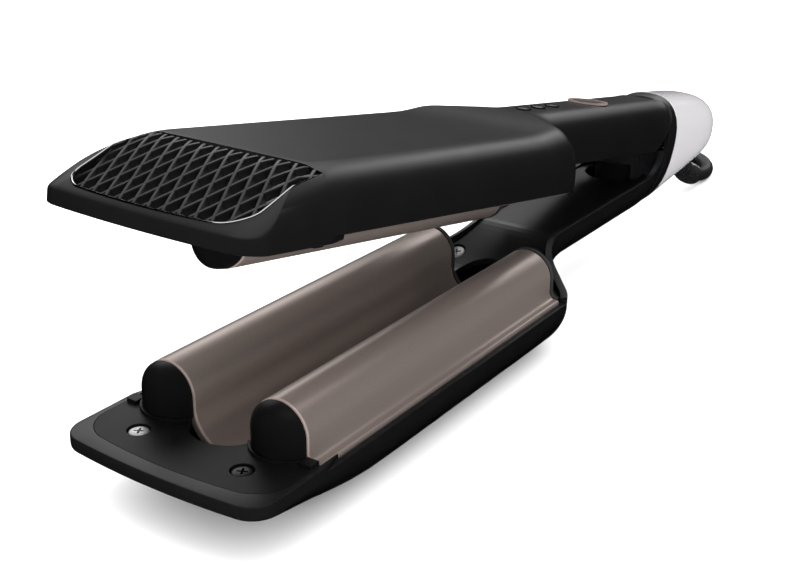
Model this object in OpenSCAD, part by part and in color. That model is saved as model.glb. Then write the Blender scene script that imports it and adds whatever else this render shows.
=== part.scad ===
// Hair waver: two hinged arms with heated wave plates, a sprung tail hinge and a mains cord.
// X runs from the nose to the tail, Z is up, and the lower head stands on Z = 0.
// Both arms are drawn in one arm frame: X = 0 at the front of the wave plate, Z = 0 at the rim
// of the nose, and the casing's back at negative Z. The upper arm is that frame turned over.

/* [Wave plates] */
// Length of both wave plates
plate_len = 121; // [105:0.5:140]
// How much wider a valley's radius is than a ridge's
valley_widening = 1.4; // [1.2:0.1:1.6]
// Height of the lower ridges' axis over the rim
ridge_z = 5.2; // [4.6:0.1:5.8]
// Depth of the lower valley under the rim
valley_depth = 7; // [6:0.1:7.6]
// Gap between the closed wave plates
plate_gap = 0.8; // [0.6:0.1:1.4]
// Thickness of the plate metal
plate_t = 2.2; // [1.2:0.1:2.4]
// Gap between a plate's flanges and the side rims
flange_gap = 0.4; // [0.4:0.1:0.8]
// Width of the flat flange outside the lower ridges
flange_ledge = 1.5; // [1.2:0.1:2]
// Drop of the flanges under the rim
flange_drop = 0.6; // [0.4:0.1:1]
// Fillet at the foot of the lower ridges
foot_fillet = 2; // [1:0.1:2.4]
// Thickness of the rear gaskets
gasket_t = 1.5; // [1:0.1:2.5]

/* [Heads] */
// Half width of the heads
head_hw = 31.5; // [31.3:0.1:34]
// Length of the lower nose ahead of the plates
nose_len = 26.4; // [25:0.2:30]
// How much further the upper nose reaches
upper_nose_reach = 3; // [0:0.2:3.2]
// Radius of the nose's front edge seen from above
nose_r = 150; // [120:5:220]
// Radius of the nose's corners
nose_corner = 12; // [10:0.5:14]
// Width of the front rim ahead of the nose plate
front_rim = 4.3; // [3:0.1:5]
// Width of the side rims
side_rim = 1.6; // [1.4:0.1:1.8]
// Height of the upright lip round the heads
lip_h = 3.5; // [2.5:0.1:4.5]
// Depth of the lower head
lower_depth = 18.5; // [17:0.1:21]
// Depth of the upper head at the nose
upper_depth = 17.5; // [16.5:0.1:20]
// Rise of the upper back from nose to tail
upper_rise = 5.3; // [3:0.1:6]
// Distance between the closed rims
rim_gap = 6.4; // [6:0.1:7.5]
// Step of the rim beside the plates
rim_step = 1.6; // [1:0.1:2]
// Wall of the casings
wall = 2; // [1.6:0.1:2.4]
// Distance from the plate's rear to the start of the shoulders
shoulder_back = 3; // [1:0.5:8]
// Radius of the shoulders
shoulder_r = 10; // [8:0.5:12]
// Angle of the sloping shoulder edge
shoulder_angle = 48; // [40:1:60]
// Fillet between the shoulder and the handle
neck_r = 18; // [12:0.5:22]

/* [Handles] */
// Distance from the plate's rear to the tail seam
handle_len = 110.4; // [95:0.2:130]
// Half width of the handles
grip_hw = 15; // [14.5:0.1:15.4]
// Height of the lower handle's edge
lower_grip_z = 10.4; // [9.5:0.1:11]
// Gap between the closed handles
grip_gap = 0.8; // [0.6:0.1:1.4]
// Depth of the lower handle under its edge
lower_grip_depth = 12.9; // [12:0.1:15]
// Thickness of the inner panels
panel_t = 2; // [1.5:0.1:2.4]
// Drop of the inner panels behind the casing's edge
panel_drop = 0.6; // [0.4:0.1:1]

/* [Hinge and tail] */
// Angle of the open arms
open_angle = 10.3; // [8:0.1:12]
// Distance from the tail seam to the hinge pin
hinge_back = 36.6; // [34:0.2:40]
// Height of the hinge pin over the lower rim
hinge_z = 16; // [15:0.1:17]
// Radius of the hinge pin
pin_r = 2; // [1.5:0.1:2.5]
// Height of the tail's middle over the lower rim
tail_z = 15.6; // [15.2:0.1:16]
// Half width of the tail
tail_hw = 15.6; // [15.4:0.1:16.5]
// Half height of the tail at the seam
tail_hh = 19.2; // [18.6:0.1:20]
// Lean of the tail seam, as run over rise
seam_lean = 0.5; // [0.35:0.05:0.55]
// Length of the black collar
collar_len = 6.8; // [5:0.2:9]
// Length of the chrome cap
cap_len = 48.3; // [45:0.2:54]
// Share of its height that the cap loses towards its end
cap_taper = 0.34; // [0.25:0.01:0.4]
// Wall of the cap
cap_wall = 1.5; // [1:0.1:2]
// Wall of the collar
collar_wall = 1.8; // [1.4:0.1:2.2]

/* [Opening spring] */
// Distance from the tail seam forward to the spring
spring_back = 11.4; // [11:0.2:13]
// Outer radius of the lower spring guide
guide_r = 6.6; // [6:0.1:6.8]
// Outer radius of the upper spring guide
hood_r = 9.3; // [9:0.1:9.4]
// Wall of both spring guides
guide_wall = 1.2; // [0.8:0.1:1.4]
// Coils of the spring
spring_turns = 9; // [6:1:12]
// Wire radius of the spring
spring_wire_r = 0.6; // [0.4:0.1:0.7]

/* [Controls] */
// Distance from the plate's rear to the power button
button_x = 69; // [60:0.5:75]
// Radius of the power button
button_r = 5.6; // [4.5:0.1:6]
// Width of the ring round the power button
bezel_w = 1.4; // [1:0.1:1.8]
// Travel of the power button
button_travel = 0.8; // [0.4:0.1:1]
// Distance from the plate's rear to the first indicator
lamp_x = 21; // [18:0.5:24]
// Distance between the indicators
lamp_pitch = 10; // [8:0.5:12]
// Radius of an indicator lens
lamp_r = 1.9; // [1.5:0.1:2.2]

/* [Cord] */
// Radius of the swivel ball
ball_r = 6; // [5.5:0.1:6.2]
// Angle at which the cord leaves downwards
exit_angle = 60; // [55:1:62]
// Radius of the bend in the strain relief
relief_bend = 38; // [36:1:40]
// Root radius of the strain relief
relief_r = 4.95; // [4.5:0.05:5]
// Tip radius of the strain relief
relief_tip_r = 4.2; // [3.6:0.1:4.4]
// Diameter of the cord
cord_d = 5.6; // [5:0.1:6]

/* [Hidden] */

LOWER = 0;
UPPER = 1;
fine = 64;
running_gap = 0.05;
seat_gap = 0.1;
cut = 0.5;

// The barrels share the width between the flanges: three crowns, a valley and the ledges.
flange_hw = head_hw - side_rim - flange_gap;
ridge_r = (flange_hw - flange_ledge - foot_fillet - valley_widening) / 3;
valley_r = ridge_r + valley_widening;
ridge_y = ridge_r + valley_r;
nose_reach = [nose_len, nose_len + upper_nose_reach];
seam_x = plate_len + handle_len;
hinge_x = seam_x + hinge_back;
ring_x = seam_x + collar_len;
tail_x = ring_x + cap_len;
middle_x = (tail_x - nose_len) / 2;
upper_grip_z = lower_grip_z + grip_gap;
flat_x = -2;
rise_start = plate_len + 1;
rise_len = 26;
shoulder_x = plate_len - shoulder_back;

// Heights in the arm frame, per arm: ridge axis, valley axis, handle edge and casing back.
ridge_axis = [ridge_z, rim_gap + valley_depth - plate_gap - ridge_r];
valley_axis = [valley_r - valley_depth, rim_gap - ridge_z - ridge_r - plate_gap + valley_r];
grip_edge = [lower_grip_z, rim_gap - upper_grip_z];
ridges = [[-ridge_y, ridge_y], [0]];
valleys = [[0], [-ridge_y, ridge_y]];
back_hw = [head_hw - 15.5, head_hw - 10.5];
back_grip_hw = [4, 5];
side_power = [1.9, 2.2];
grip_power = 2.2;
nose_power = 1.12;
grip_lip = 1.5;

function ease(u) = u <= 0 ? 0 : u >= 1 ? 1 : u * u * (3 - 2 * u);
function blend(a, b, u) = a + (b - a) * u;
function rise(x) = ease((x - rise_start) / rise_len);

// Height of the casing's edge without the step beside the plates, and with it.
function edge_z(arm, x) = grip_edge[arm] * rise(x);
function rim_z(arm, x) = edge_z(arm, x) - ((x > 0 && x < plate_len + gasket_t + cut) ? rim_step : 0);
// Height of the casing's back.
function back_z(arm, x) = arm == LOWER
    ? blend(-lower_depth, lower_grip_z - lower_grip_depth, ease((x - shoulder_x) / (rise_len + 4)))
    : -upper_depth - upper_rise * max(x, flat_x) / seam_x;
function lip_z(arm, x) = edge_z(arm, x) - blend(lip_h, grip_lip, rise(x));

// Half of a plan outline, from the middle of the nose round the head to the end of the handle.
nose_steps = 5;
corner_steps = 7;
shoulder_steps = 5;
neck_steps = 6;
grip_steps = 7;
nose_bow = nose_r - sqrt(pow(nose_r, 2) - pow((head_hw - nose_corner) / (1 - nose_corner / nose_r), 2));
rim_corner_x = [for (reach = nose_reach) nose_bow - reach + nose_corner];
side_x = [-0.8, 0.6, plate_len * 0.3, plate_len * 0.6, plate_len * 0.85];
side_u = [for (x0 = rim_corner_x) [for (x = side_x) (x - x0) / (shoulder_x - x0)]];

function half_plan(front, side, hw, corner, shoulder, radius, fillet, grip, end) =
    let (y1 = (hw - corner) / (1 - corner / nose_r),
         lean = asin(y1 / nose_r),
         corner_x = front + nose_r * (1 - cos(lean)) + corner * cos(lean),
         slope = shoulder_angle,
         slope_x = shoulder + radius * sin(slope),
         slope_y = hw - radius * (1 - cos(slope)),
         fillet_y = grip + fillet * (1 - cos(slope)),
         fillet_x = slope_x + (slope_y - fillet_y) / tan(slope) + fillet * sin(slope))
    concat(
        [for (i = [0:nose_steps - 1]) let (y = y1 * i / nose_steps)
            [front + nose_r - sqrt(nose_r * nose_r - y * y), y]],
        [for (i = [0:corner_steps]) let (t = lean + (90 - lean) * i / corner_steps)
            [corner_x - corner * cos(t), hw - corner + corner * sin(t)]],
        [for (u = side) [blend(corner_x, shoulder, u), hw]],
        [for (i = [0:shoulder_steps]) let (t = slope * i / shoulder_steps)
            [shoulder + radius * sin(t), hw - radius + radius * cos(t)]],
        [for (i = [0:neck_steps]) let (t = slope * (1 - i / neck_steps))
            [fillet_x - fillet * sin(t), grip + fillet * (1 - cos(t))]],
        [for (i = [1:grip_steps]) [blend(fillet_x, end, i / grip_steps), grip]]);

rim_plan = [for (arm = [LOWER, UPPER]) half_plan(-nose_reach[arm], side_u[arm], head_hw, nose_corner,
    shoulder_x, shoulder_r, neck_r, grip_hw, seam_x)];
back_plan = [for (arm = [LOWER, UPPER])
    half_plan(flat_x, side_u[arm], back_hw[arm], 4, shoulder_x, 6, 10, back_grip_hw[arm], seam_x)];
stations = len(rim_plan[LOWER]);
inner_shoulder_back = 0.6;
inner_rim_plan = [for (arm = [LOWER, UPPER]) half_plan(front_rim - nose_reach[arm], side_u[arm],
    head_hw - side_rim, nose_corner - side_rim, shoulder_x + inner_shoulder_back,
    shoulder_r - side_rim, neck_r + side_rim, grip_hw - side_rim, seam_x)];
inner_back_plan = [for (arm = [LOWER, UPPER]) half_plan(flat_x + 1.2, side_u[arm], back_hw[arm] - 1, 4,
    shoulder_x - 1, 6, 10, back_grip_hw[arm] - 1, seam_x)];

// Power of the section's rounding at each station: almost straight down the nose's slope.
function section_power(arm, i) =
    i < nose_steps ? nose_power
    : i <= nose_steps + corner_steps
        ? blend(nose_power, side_power[arm], ease((i - nose_steps) / corner_steps))
    : blend(side_power[arm], grip_power, rise(rim_plan[arm][i][0]));

// One casing level at angle t, from the lip at 0 to the back at 90.
seam_shift = [0, 0.6];
function seam_at(arm, z) = seam_lean * ((arm == LOWER ? z : rim_gap - z) - tail_z) - seam_shift[arm];
function seam_share(i) = max(0, (i - stations + 1 + grip_steps) / grip_steps);
function level_point(arm, rim, back, i, t, lift, end_wall) =
    let (power = section_power(arm, i),
         out = pow(cos(t), 2 / power),
         down = pow(sin(t), 2 / power),
         x = rim_plan[arm][i][0],
         top = lip_z(arm, x),
         z = blend(top, back_z(arm, back[i][0]) + lift, down),
         p = blend(back[i], rim[i], out))
    [p[0] + seam_share(i) * (seam_at(arm, z) - end_wall), p[1], z];
function rim_point(arm, rim, i, end_wall) =
    let (z = rim_z(arm, rim_plan[arm][i][0]))
    [rim[i][0] + seam_share(i) * (seam_at(arm, z) - end_wall), rim[i][1], z];
outer_levels = [for (k = [0:7]) 90 * k / 7];
inner_levels = [for (k = [0:5]) 90 * k / 5];

function full_ring(half) =
    concat(half, [for (i = [len(half) - 1:-1:1]) [half[i][0], -half[i][1], half[i][2]]]);
last = stations - 1;
ring_n = 2 * stations - 1;
function at(ring, i) = ring * ring_n + i;
function across(ring, i) = ring * ring_n + (i == 0 ? 0 : ring_n - i);

// A casing: outer skin, rim and inner skin as one closed shell, open towards the other arm.
module casing_shell(arm) {
    rim = rim_plan[arm];
    back = back_plan[arm];
    outer = concat([full_ring([for (i = [0:last]) rim_point(arm, rim, i, 0)])],
        [for (t = outer_levels) full_ring([for (i = [0:last]) level_point(arm, rim, back, i, t, 0, 0)])]);
    rim_in = inner_rim_plan[arm];
    back_in = inner_back_plan[arm];
    inner = concat([full_ring([for (i = [0:last]) rim_point(arm, rim_in, i, wall)])],
        [for (t = inner_levels) full_ring([for (i = [0:last])
            level_point(arm, rim_in, back_in, i, t, wall, wall)])]);
    first_in = len(outer);
    last_in = first_in + len(inner) - 1;
    skins = concat(
        [for (r = [0:first_in - 2], i = [0:ring_n - 1]) let (j = (i + 1) % ring_n)
            each [[at(r, i), at(r + 1, i), at(r + 1, j)], [at(r, i), at(r + 1, j), at(r, j)]]],
        [for (r = [first_in:last_in - 1], i = [0:ring_n - 1]) let (j = (i + 1) % ring_n)
            each [[at(r, i), at(r + 1, j), at(r + 1, i)], [at(r, i), at(r, j), at(r + 1, j)]]],
        [for (i = [0:ring_n - 1]) let (j = (i + 1) % ring_n)
            each [[at(0, i), at(0, j), at(first_in, j)], [at(0, i), at(first_in, j), at(first_in, i)]]]);
    r1 = first_in - 1;
    backs = concat(
        [[at(r1, 0), across(r1, 1), at(r1, 1)], [at(last_in, 0), at(last_in, 1), across(last_in, 1)]],
        [for (i = [1:last - 1]) each [
            [at(r1, i), across(r1, i), across(r1, i + 1)],
            [at(r1, i), across(r1, i + 1), at(r1, i + 1)],
            [at(last_in, i), across(last_in, i + 1), across(last_in, i)],
            [at(last_in, i), at(last_in, i + 1), across(last_in, i + 1)]]]);
    points = [for (ring = concat(outer, inner)) each ring];
    polyhedron(points = points, faces = concat(skins, backs));
}

// The arm frame set in the part's frame. The lower head stands on Z = 0.
module lower_arm() {
    translate([-middle_x, 0, lower_depth]) children();
}

module upper_arm() {
    lower_arm()
        translate([hinge_x, 0, hinge_z])
            rotate([0, open_angle, 0])
                translate([-hinge_x, 0, rim_gap - hinge_z])
                    mirror([0, 0, 1]) children();
}

// The sloping nose of an arm: x up the slope from the lip, z outwards.
depth_of = [lower_depth, upper_depth];
function slope_angle(arm) = atan2(depth_of[arm] - lip_h, nose_reach[arm] + flat_x);
function slope_len(arm) = sqrt(pow(depth_of[arm] - lip_h, 2) + pow(nose_reach[arm] + flat_x, 2));
module on_slope(arm) {
    translate([-nose_reach[arm], 0, -lip_h])
        rotate([0, slope_angle(arm), 0])
            rotate([180, 0, 0]) children();
}

grille_low = 2.6;
grille_high_margin = 1;
grille_hw = head_hw - 7.5;
grille_corner = 6;
grille_recess = 1.2;
grille_t = 2.2;
backing_t = 0.5;
trim_w = 0.7;
trim_t = 0.35;
rib_w = 0.8;
diamond_w = 3.4;
diamond_h = 6.8;

module grille_window(arm, inset) {
    r = grille_corner - inset;
    high = slope_len(arm) - grille_high_margin - inset;
    for (side = [-1, 1])
        translate([grille_low + grille_corner, side * (grille_hw - grille_corner)]) circle(r, $fn = fine);
    translate([grille_low + grille_corner, inset - grille_hw])
        square([high - grille_low - grille_corner, 2 * (grille_hw - inset)]);
    translate([grille_low + inset, grille_corner - grille_hw])
        square([high - grille_low - inset, 2 * (grille_hw - grille_corner)]);
}

module casing_with_window(arm) {
    difference() {
        casing_shell(arm);
        on_slope(arm)
            translate([0, 0, -grille_recess - grille_t - 2])
                linear_extrude(grille_recess + grille_t + 4) grille_window(arm, 0);
    }
}

// The lattice: two crossing families of ribs, with a solid edge that fills the window.
module grille(arm) {
    inset = running_gap;
    edge_w = 1;
    rib_angle = atan2(diamond_w, diamond_h);
    count = ceil((grille_hw + slope_len(arm)) / diamond_w);
    on_slope(arm)
        translate([0, 0, -grille_recess - grille_t])
            linear_extrude(grille_t) {
                intersection() {
                    grille_window(arm, inset);
                    for (k = [-count:count], side = [-1, 1])
                        translate([slope_len(arm) / 2, k * diamond_w])
                            rotate(side * rib_angle)
                                square([2 * slope_len(arm), rib_w], center = true);
                }
                difference() {
                    grille_window(arm, inset);
                    grille_window(arm, inset + edge_w);
                }
            }
}

module grille_trim(arm) {
    on_slope(arm)
        translate([0, 0, -grille_recess])
            linear_extrude(trim_t)
                difference() {
                    grille_window(arm, running_gap);
                    grille_window(arm, running_gap + trim_w);
                }
}

module grille_backing(arm) {
    on_slope(arm)
        translate([0, 0, -grille_recess - grille_t - backing_t])
            linear_extrude(backing_t) grille_window(arm, running_gap);
}

// Nose plate: closes the nose's rim, with a pocket for each barrel end of the other arm.
plate_front_gap = 0.3;
nose_plate_t = 1.3;
dome_bulge = 0.9;
dome_r = ridge_r + dome_bulge;
dome_back = 3;
dome_ring_w = 0.7;
dome_ring_h = 0.8;
pocket_wall = 1.2;
pocket_r = [dome_r + 1.8, dome_r + 0.8];
screw_x = -12.5;
screw_y = ridge_y - 1.3;
screw_head_r = 2.7;
screw_head_h = 1.4;
counterbore_r = 3;
counterbore_h = 1.7;
screw_shank_r = 1.3;
screw_shank_l = 3.6;
rear_shank_l = 2;
boss_r = 4.2;
boss_h = 3.2;

module nose_outline(arm) {
    outline = concat([for (i = [0:nose_steps + corner_steps]) inner_rim_plan[arm][i]],
        [[-plate_front_gap, head_hw - side_rim]]);
    offset_x = seat_gap;
    scale_in = (head_hw - side_rim - seat_gap) / (head_hw - side_rim);
    polygon(concat([for (p = outline) [p[0] + offset_x, p[1] * scale_in]],
        [for (i = [len(outline) - 1:-1:1]) [outline[i][0] + offset_x, -outline[i][1] * scale_in]]));
}

pocket_clear = 1.2;
function pocket_drop(arm) = pocket_clear + (arm == LOWER ? valley_depth : ridge_z + ridge_r - rim_gap);

module nose_plate(arm) {
    drop = pocket_drop(arm);
    reach = nose_reach[arm];
    block_x = 3.6;
    block_w = 3.2;
    block_h = 1;
    difference() {
        union() {
            translate([0, 0, -nose_plate_t])
                linear_extrude(nose_plate_t)
                    intersection() {
                        nose_outline(arm);
                        translate([-reach, -head_hw]) square([reach - plate_front_gap, 2 * head_hw]);
                    }
            for (y = valleys[arm])
                intersection() {
                    translate([dome_back, y, -drop - pocket_wall])
                        cylinder(r = pocket_r[arm] + pocket_wall, h = drop + pocket_wall, $fn = fine);
                    translate([-reach, -head_hw, -drop - pocket_wall])
                        cube([reach - plate_front_gap, 2 * head_hw, drop + pocket_wall]);
                }
            for (y = ridges[arm])
                intersection() {
                    translate([dome_back, y, 0])
                        cylinder(r = dome_r + dome_ring_w, h = dome_ring_h, $fn = fine);
                    translate([-reach, -head_hw, 0])
                        cube([reach - plate_front_gap, 2 * head_hw, dome_ring_h]);
                }
            for (side = [-1, 1])
                translate([screw_x, side * screw_y, -nose_plate_t - boss_h])
                    cylinder(r = boss_r, h = boss_h + 1, $fn = fine);
            for (side = [-1, 1])
                translate([-block_x, side * (flange_hw - block_w / 2) - block_w / 2, 0])
                    cube([block_x - plate_front_gap, block_w, block_h]);
        }
        for (y = valleys[arm])
            translate([dome_back, y, -drop])
                cylinder(r = pocket_r[arm], h = drop + 2, $fn = fine);
        for (y = ridges[arm])
            translate([dome_back, y, 0])
                cylinder(r = dome_r + running_gap, h = 2, $fn = fine);
        for (side = [-1, 1])
            translate([screw_x, side * screw_y, 0]) screw_hole();
    }
}

module screw_hole() {
    translate([0, 0, -counterbore_h]) cylinder(r = counterbore_r, h = counterbore_h + 1, $fn = fine);
    translate([0, 0, -counterbore_h - screw_shank_l - 1])
        cylinder(r = screw_shank_r, h = screw_shank_l + 2, $fn = fine);
}

module screw(shank) {
    translate([0, 0, -counterbore_h]) cylinder(r = screw_head_r, h = screw_head_h, $fn = fine);
    translate([0, 0, -counterbore_h - shank]) cylinder(r = screw_shank_r, h = shank + cut, $fn = fine);
}

// Rounded end of a barrel: the ridge's section, a round front and a rounded top.
dome_inset = 0.15;
dome_round = 7;
module barrel_cap(arm, y) {
    r = ridge_r - dome_inset;
    axis = ridge_axis[arm];
    top = axis + r;
    front = dome_back - dome_r;
    intersection() {
        translate([front, y, 0])
            rotate([90, 0, 90])
                linear_extrude(-front - plate_front_gap) {
                    translate([0, axis]) circle(r, $fn = fine);
                    translate([-r, 0]) square([2 * r, axis]);
                }
        translate([dome_back, y, 0]) cylinder(r = dome_r, h = top, $fn = fine);
        translate([0, y, 0])
            rotate([90, 0, 0])
                linear_extrude(2 * r, center = true) {
                    translate([front + dome_round, top - dome_round]) circle(dome_round, $fn = fine);
                    translate([front, 0]) square([-front, top - dome_round]);
                    translate([front + dome_round, 0]) square([dome_round, top]);
                }
    }
}

// Section of a wave plate: the area under its surface, drawn in by t.
section_low = -14;
module wave_area(arm, t) {
    difference() {
        union() {
            for (y = ridges[arm]) {
                translate([y, ridge_axis[arm]]) circle(ridge_r - t, $fn = fine);
                translate([y - ridge_r + t, section_low])
                    square([2 * (ridge_r - t), ridge_axis[arm] - section_low]);
            }
            translate([-flange_hw, section_low]) square([2 * flange_hw, -flange_drop - t - section_low]);
            if (arm == LOWER)
                for (side = [-1, 1])
                    mirror([side < 0 ? 1 : 0, 0])
                        difference() {
                            translate([ridge_y, -flange_drop - t])
                                square([ridge_r - t + foot_fillet, foot_fillet]);
                            translate([ridge_y + ridge_r - t + foot_fillet, foot_fillet - flange_drop - t])
                                circle(foot_fillet, $fn = fine);
                        }
        }
        for (y = valleys[arm]) {
            translate([y, valley_axis[arm]]) circle(valley_r + t, $fn = fine);
            translate([y - valley_r - t, valley_axis[arm]])
                square([2 * (valley_r + t), 2 * ridge_r + ridge_z]);
        }
    }
}

module along_plate(from, length) {
    translate([from, 0, 0]) rotate([90, 0, 90]) linear_extrude(length) children();
}

module wave_plate(arm) {
    along_plate(0, plate_len)
        difference() {
            wave_area(arm, 0);
            wave_area(arm, plate_t);
            translate([-head_hw, section_low - 1]) square([2 * head_hw, 1.01]);
        }
}

gasket_proud = 0.2;
gasket_hw = flange_hw - 0.9;
gasket_foot_hw = [ridge_y + 6.2, ridge_y + valley_r + gasket_proud];
module gasket(arm) {
    along_plate(plate_len + running_gap, gasket_t - running_gap)
        intersection() {
            wave_area(arm, -gasket_proud);
            union() {
                translate([-gasket_hw, -flange_drop - plate_t])
                    square([2 * gasket_hw, 2 * ridge_r + ridge_z]);
                translate([-gasket_foot_hw[arm], -valley_depth - plate_t])
                    square([2 * gasket_foot_hw[arm], valley_depth + plate_t]);
            }
        }
}

// Inner panel: closes the casing behind the plate and along the handle.
function panel_z(arm, x) = edge_z(arm, x) - panel_drop;
rear_pocket_r = valley_r - 0.4;
rear_pocket_back = 1.5;
rear_notch = 1;
rear_screw_x = 10.4;
rear_screw_y = ridge_y - 3.6;
rear_boss_r = 3;
rear_boss_h = 1.6;
panel_half = [for (i = [nose_steps + corner_steps + 1 + len(side_x):stations - 1]) inner_rim_plan[LOWER][i]];
module panel_outline(arm, end) {
    front = plate_len + gasket_t + seat_gap;
    shrink = 0.35;
    outline = concat([[front, gasket_hw]],
        [for (p = panel_half) if (p[0] > front + cut && p[0] < end) [p[0] - shrink, p[1] - shrink]],
        [[end, grip_hw - side_rim - shrink]]);
    polygon(concat(outline, [for (i = [len(outline) - 1:-1:0]) [outline[i][0], -outline[i][1]]]));
}

panel_end = [-2, -4];
function panel_stop(arm) = seam_x + seam_at(arm, grip_edge[arm]) - wall - seat_gap + panel_end[arm];
module panel_body(arm) {
    front = plate_len + gasket_t;
    stop = panel_stop(arm);
    steps = 12;
    xs = concat([for (k = [0:steps]) front + (rise_start + rise_len - front) * k / steps], [stop]);
    intersection() {
        translate([0, 0, -head_hw]) linear_extrude(2 * head_hw) panel_outline(arm, stop);
        rotate([90, 0, 0])
            linear_extrude(2 * head_hw, center = true)
                polygon(concat([for (x = xs) [x, panel_z(arm, x)]],
                    [for (k = [len(xs) - 1:-1:0]) [xs[k], panel_z(arm, xs[k]) - panel_t]]));
    }
}

module rear_screws_at(arm) {
    x = plate_len + rear_screw_x;
    tilt = atan2(panel_z(arm, x + 1) - panel_z(arm, x - 1), 2);
    for (side = [-1, 1])
        translate([x, side * rear_screw_y, panel_z(arm, x)]) rotate([0, -tilt, 0]) children();
}

module inner_panel(arm) {
    difference() {
        union() {
            panel_body(arm);
            rear_screws_at(arm) translate([0, 0, -panel_t - rear_boss_h])
                cylinder(r = rear_boss_r, h = rear_boss_h + 1, $fn = fine);
        }
        if (arm == LOWER)
            translate([plate_len + rear_pocket_back, 0, -head_hw])
                cylinder(r = rear_pocket_r, h = 2 * head_hw, $fn = fine);
        else
            for (y = valleys[arm])
                translate([plate_len, y - ridge_r - rear_notch, -head_hw])
                    cube([gasket_t + rear_notch, 2 * (ridge_r + rear_notch), 2 * head_hw]);
        rear_screws_at(arm) screw_hole();
    }
}

module screws(arm) {
    for (side = [-1, 1])
        translate([screw_x, side * screw_y, 0]) screw(screw_shank_l);
    rear_screws_at(arm) screw(rear_shank_l);
}

// Heaters: a rod in each ridge and a flat bar under each valley.
rod_gap = 0.15;
heater_end = 12;
bar_w = 12;
bar_t = 2.6;
module heaters(arm) {
    along_plate(heater_end, plate_len - 2 * heater_end) {
        for (y = ridges[arm])
            translate([y, ridge_axis[arm]]) circle(ridge_r - plate_t - rod_gap, $fn = fine);
        for (y = valleys[arm])
            translate([y - bar_w / 2, valley_axis[arm] - valley_r - plate_t - seat_gap - bar_t])
                square([bar_w, bar_t]);
    }
}

// Opening spring with its guide in the lower handle and its hood in the upper one.
spring_x = seam_x - spring_back;
guide_x = spring_x - 0.4;
guide_low = 2.4;
guide_top = 15.5;
hood_low = 6.2;
hood_top = 23;
hood_hole_gap = 1.1;
guide_hole_gap = running_gap;

module tube(outer, inner, h) {
    difference() {
        cylinder(r = outer, h = h, $fn = fine);
        translate([0, 0, -1]) cylinder(r = inner, h = h + 2, $fn = fine);
    }
}

module spring_guide() {
    color("dimgray") lower_arm() translate([guide_x, 0, guide_low]) {
        tube(guide_r, guide_r - guide_wall, guide_top - guide_low);
        cylinder(r = guide_r - cut, h = guide_wall, $fn = fine);
    }
}

module spring_hood() {
    color("#202022") upper_arm() translate([spring_x, 0, rim_gap - hood_top]) {
        tube(hood_r, hood_r - guide_wall, hood_top - hood_low);
        cylinder(r = hood_r - cut, h = guide_wall, $fn = fine);
    }
}

// A tube swept along points. Each point is [x, y, z, radius]; ends are flat.
function unit(v) = v / norm(v);
function spot(p) = [p[0], p[1], p[2]];
function heading(path, i) =
    unit(spot(path[min(i + 1, len(path) - 1)]) - spot(path[max(i - 1, 0)]));
function sideways(d) = unit(cross(abs(d[2]) < 0.9 ? [0, 0, 1] : [0, 1, 0], d));
module swept_tube(path, sides) {
    n = len(path);
    rings = [for (i = [0:n - 1]) let (d = heading(path, i), u = sideways(d), v = cross(d, u))
        for (k = [0:sides - 1]) let (t = 360 * (k + 0.5) / sides)
            spot(path[i]) + path[i][3] * (cos(t) * u + sin(t) * v)];
    walls = [for (i = [0:n - 2], k = [0:sides - 1])
        let (a = i * sides + k, b = i * sides + (k + 1) % sides)
        each [[a, b + sides, b], [a, a + sides, b + sides]]];
    first_end = [for (k = [1:sides - 2]) [0, k, k + 1]];
    last_end = [for (k = [1:sides - 2]) let (s = (n - 1) * sides) [s, s + k + 1, s + k]];
    polyhedron(points = rings, faces = concat(walls, first_end, last_end));
}

// Least distance between a path's centre line and itself, further along than skip points.
function self_gap(path, skip, d) =
    min([for (i = [0:len(path) - 1]) for (j = [i + skip:1:len(path) - 1])
        norm(spot(path[i]) - spot(path[j]))]) - d;

spring_r = guide_r - guide_wall - spring_wire_r - 0.4;
spring_steps = 8;
module opening_spring() {
    low = guide_low + guide_wall + spring_wire_r + seat_gap;
    ceiling_x = hinge_x - (hinge_x - spring_x) * cos(open_angle)
        + (hood_top - guide_wall - hinge_z) * sin(open_angle);
    ceiling_z = hinge_z + (hood_top - guide_wall - hinge_z) * cos(open_angle)
        + (hinge_x - spring_x) * sin(open_angle);
    high = ceiling_z - spring_wire_r - 1.6;
    n = spring_turns * spring_steps;
    path = [for (i = [0:n]) let (t = 360 * i / spring_steps, z = blend(low, high, i / n),
            lean = ease((z - guide_top) / (high - guide_top)))
        [blend(guide_x, ceiling_x, lean) + spring_r * cos(t), spring_r * sin(t), z, spring_wire_r]];
    color("silver") lower_arm() swept_tube(path, 6);
}

// Tail: sections are rounded rectangles, leaning at the seam and upright at the end.
tail_power = 2.5;
tail_sides = 40;
end_power = 8;
function corner_curve(c) = sign(c) * pow(abs(c), 2 / tail_power);
function tail_ring(x, hw, hh, lean) = [for (k = [0:tail_sides - 1])
    let (t = 360 * (k + 0.5) / tail_sides, z = hh * corner_curve(sin(t)))
    [x + lean * z, hw * corner_curve(cos(t)), tail_z + z]];
function skin_faces(first, count, flip) = [for (r = [first:first + count - 2], k = [0:tail_sides - 1])
    let (a = r * tail_sides + k, b = r * tail_sides + (k + 1) % tail_sides, s = tail_sides)
    each flip ? [[a, b, b + s], [a, b + s, a + s]] : [[a, b + s, b], [a, a + s, b + s]]];
function end_faces(ring, flip) = [for (k = [1:tail_sides - 2]) let (s = ring * tail_sides)
    flip ? [s, s + k + 1, s + k] : [s, s + k, s + k + 1]];
function band_faces(ring_a, ring_b, flip) = [for (k = [0:tail_sides - 1])
    let (a = ring_a * tail_sides + k, b = ring_a * tail_sides + (k + 1) % tail_sides,
         c = ring_b * tail_sides + k, d = ring_b * tail_sides + (k + 1) % tail_sides)
    each flip ? [[a, c, d], [a, d, b]] : [[a, d, c], [a, b, d]]];

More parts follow.
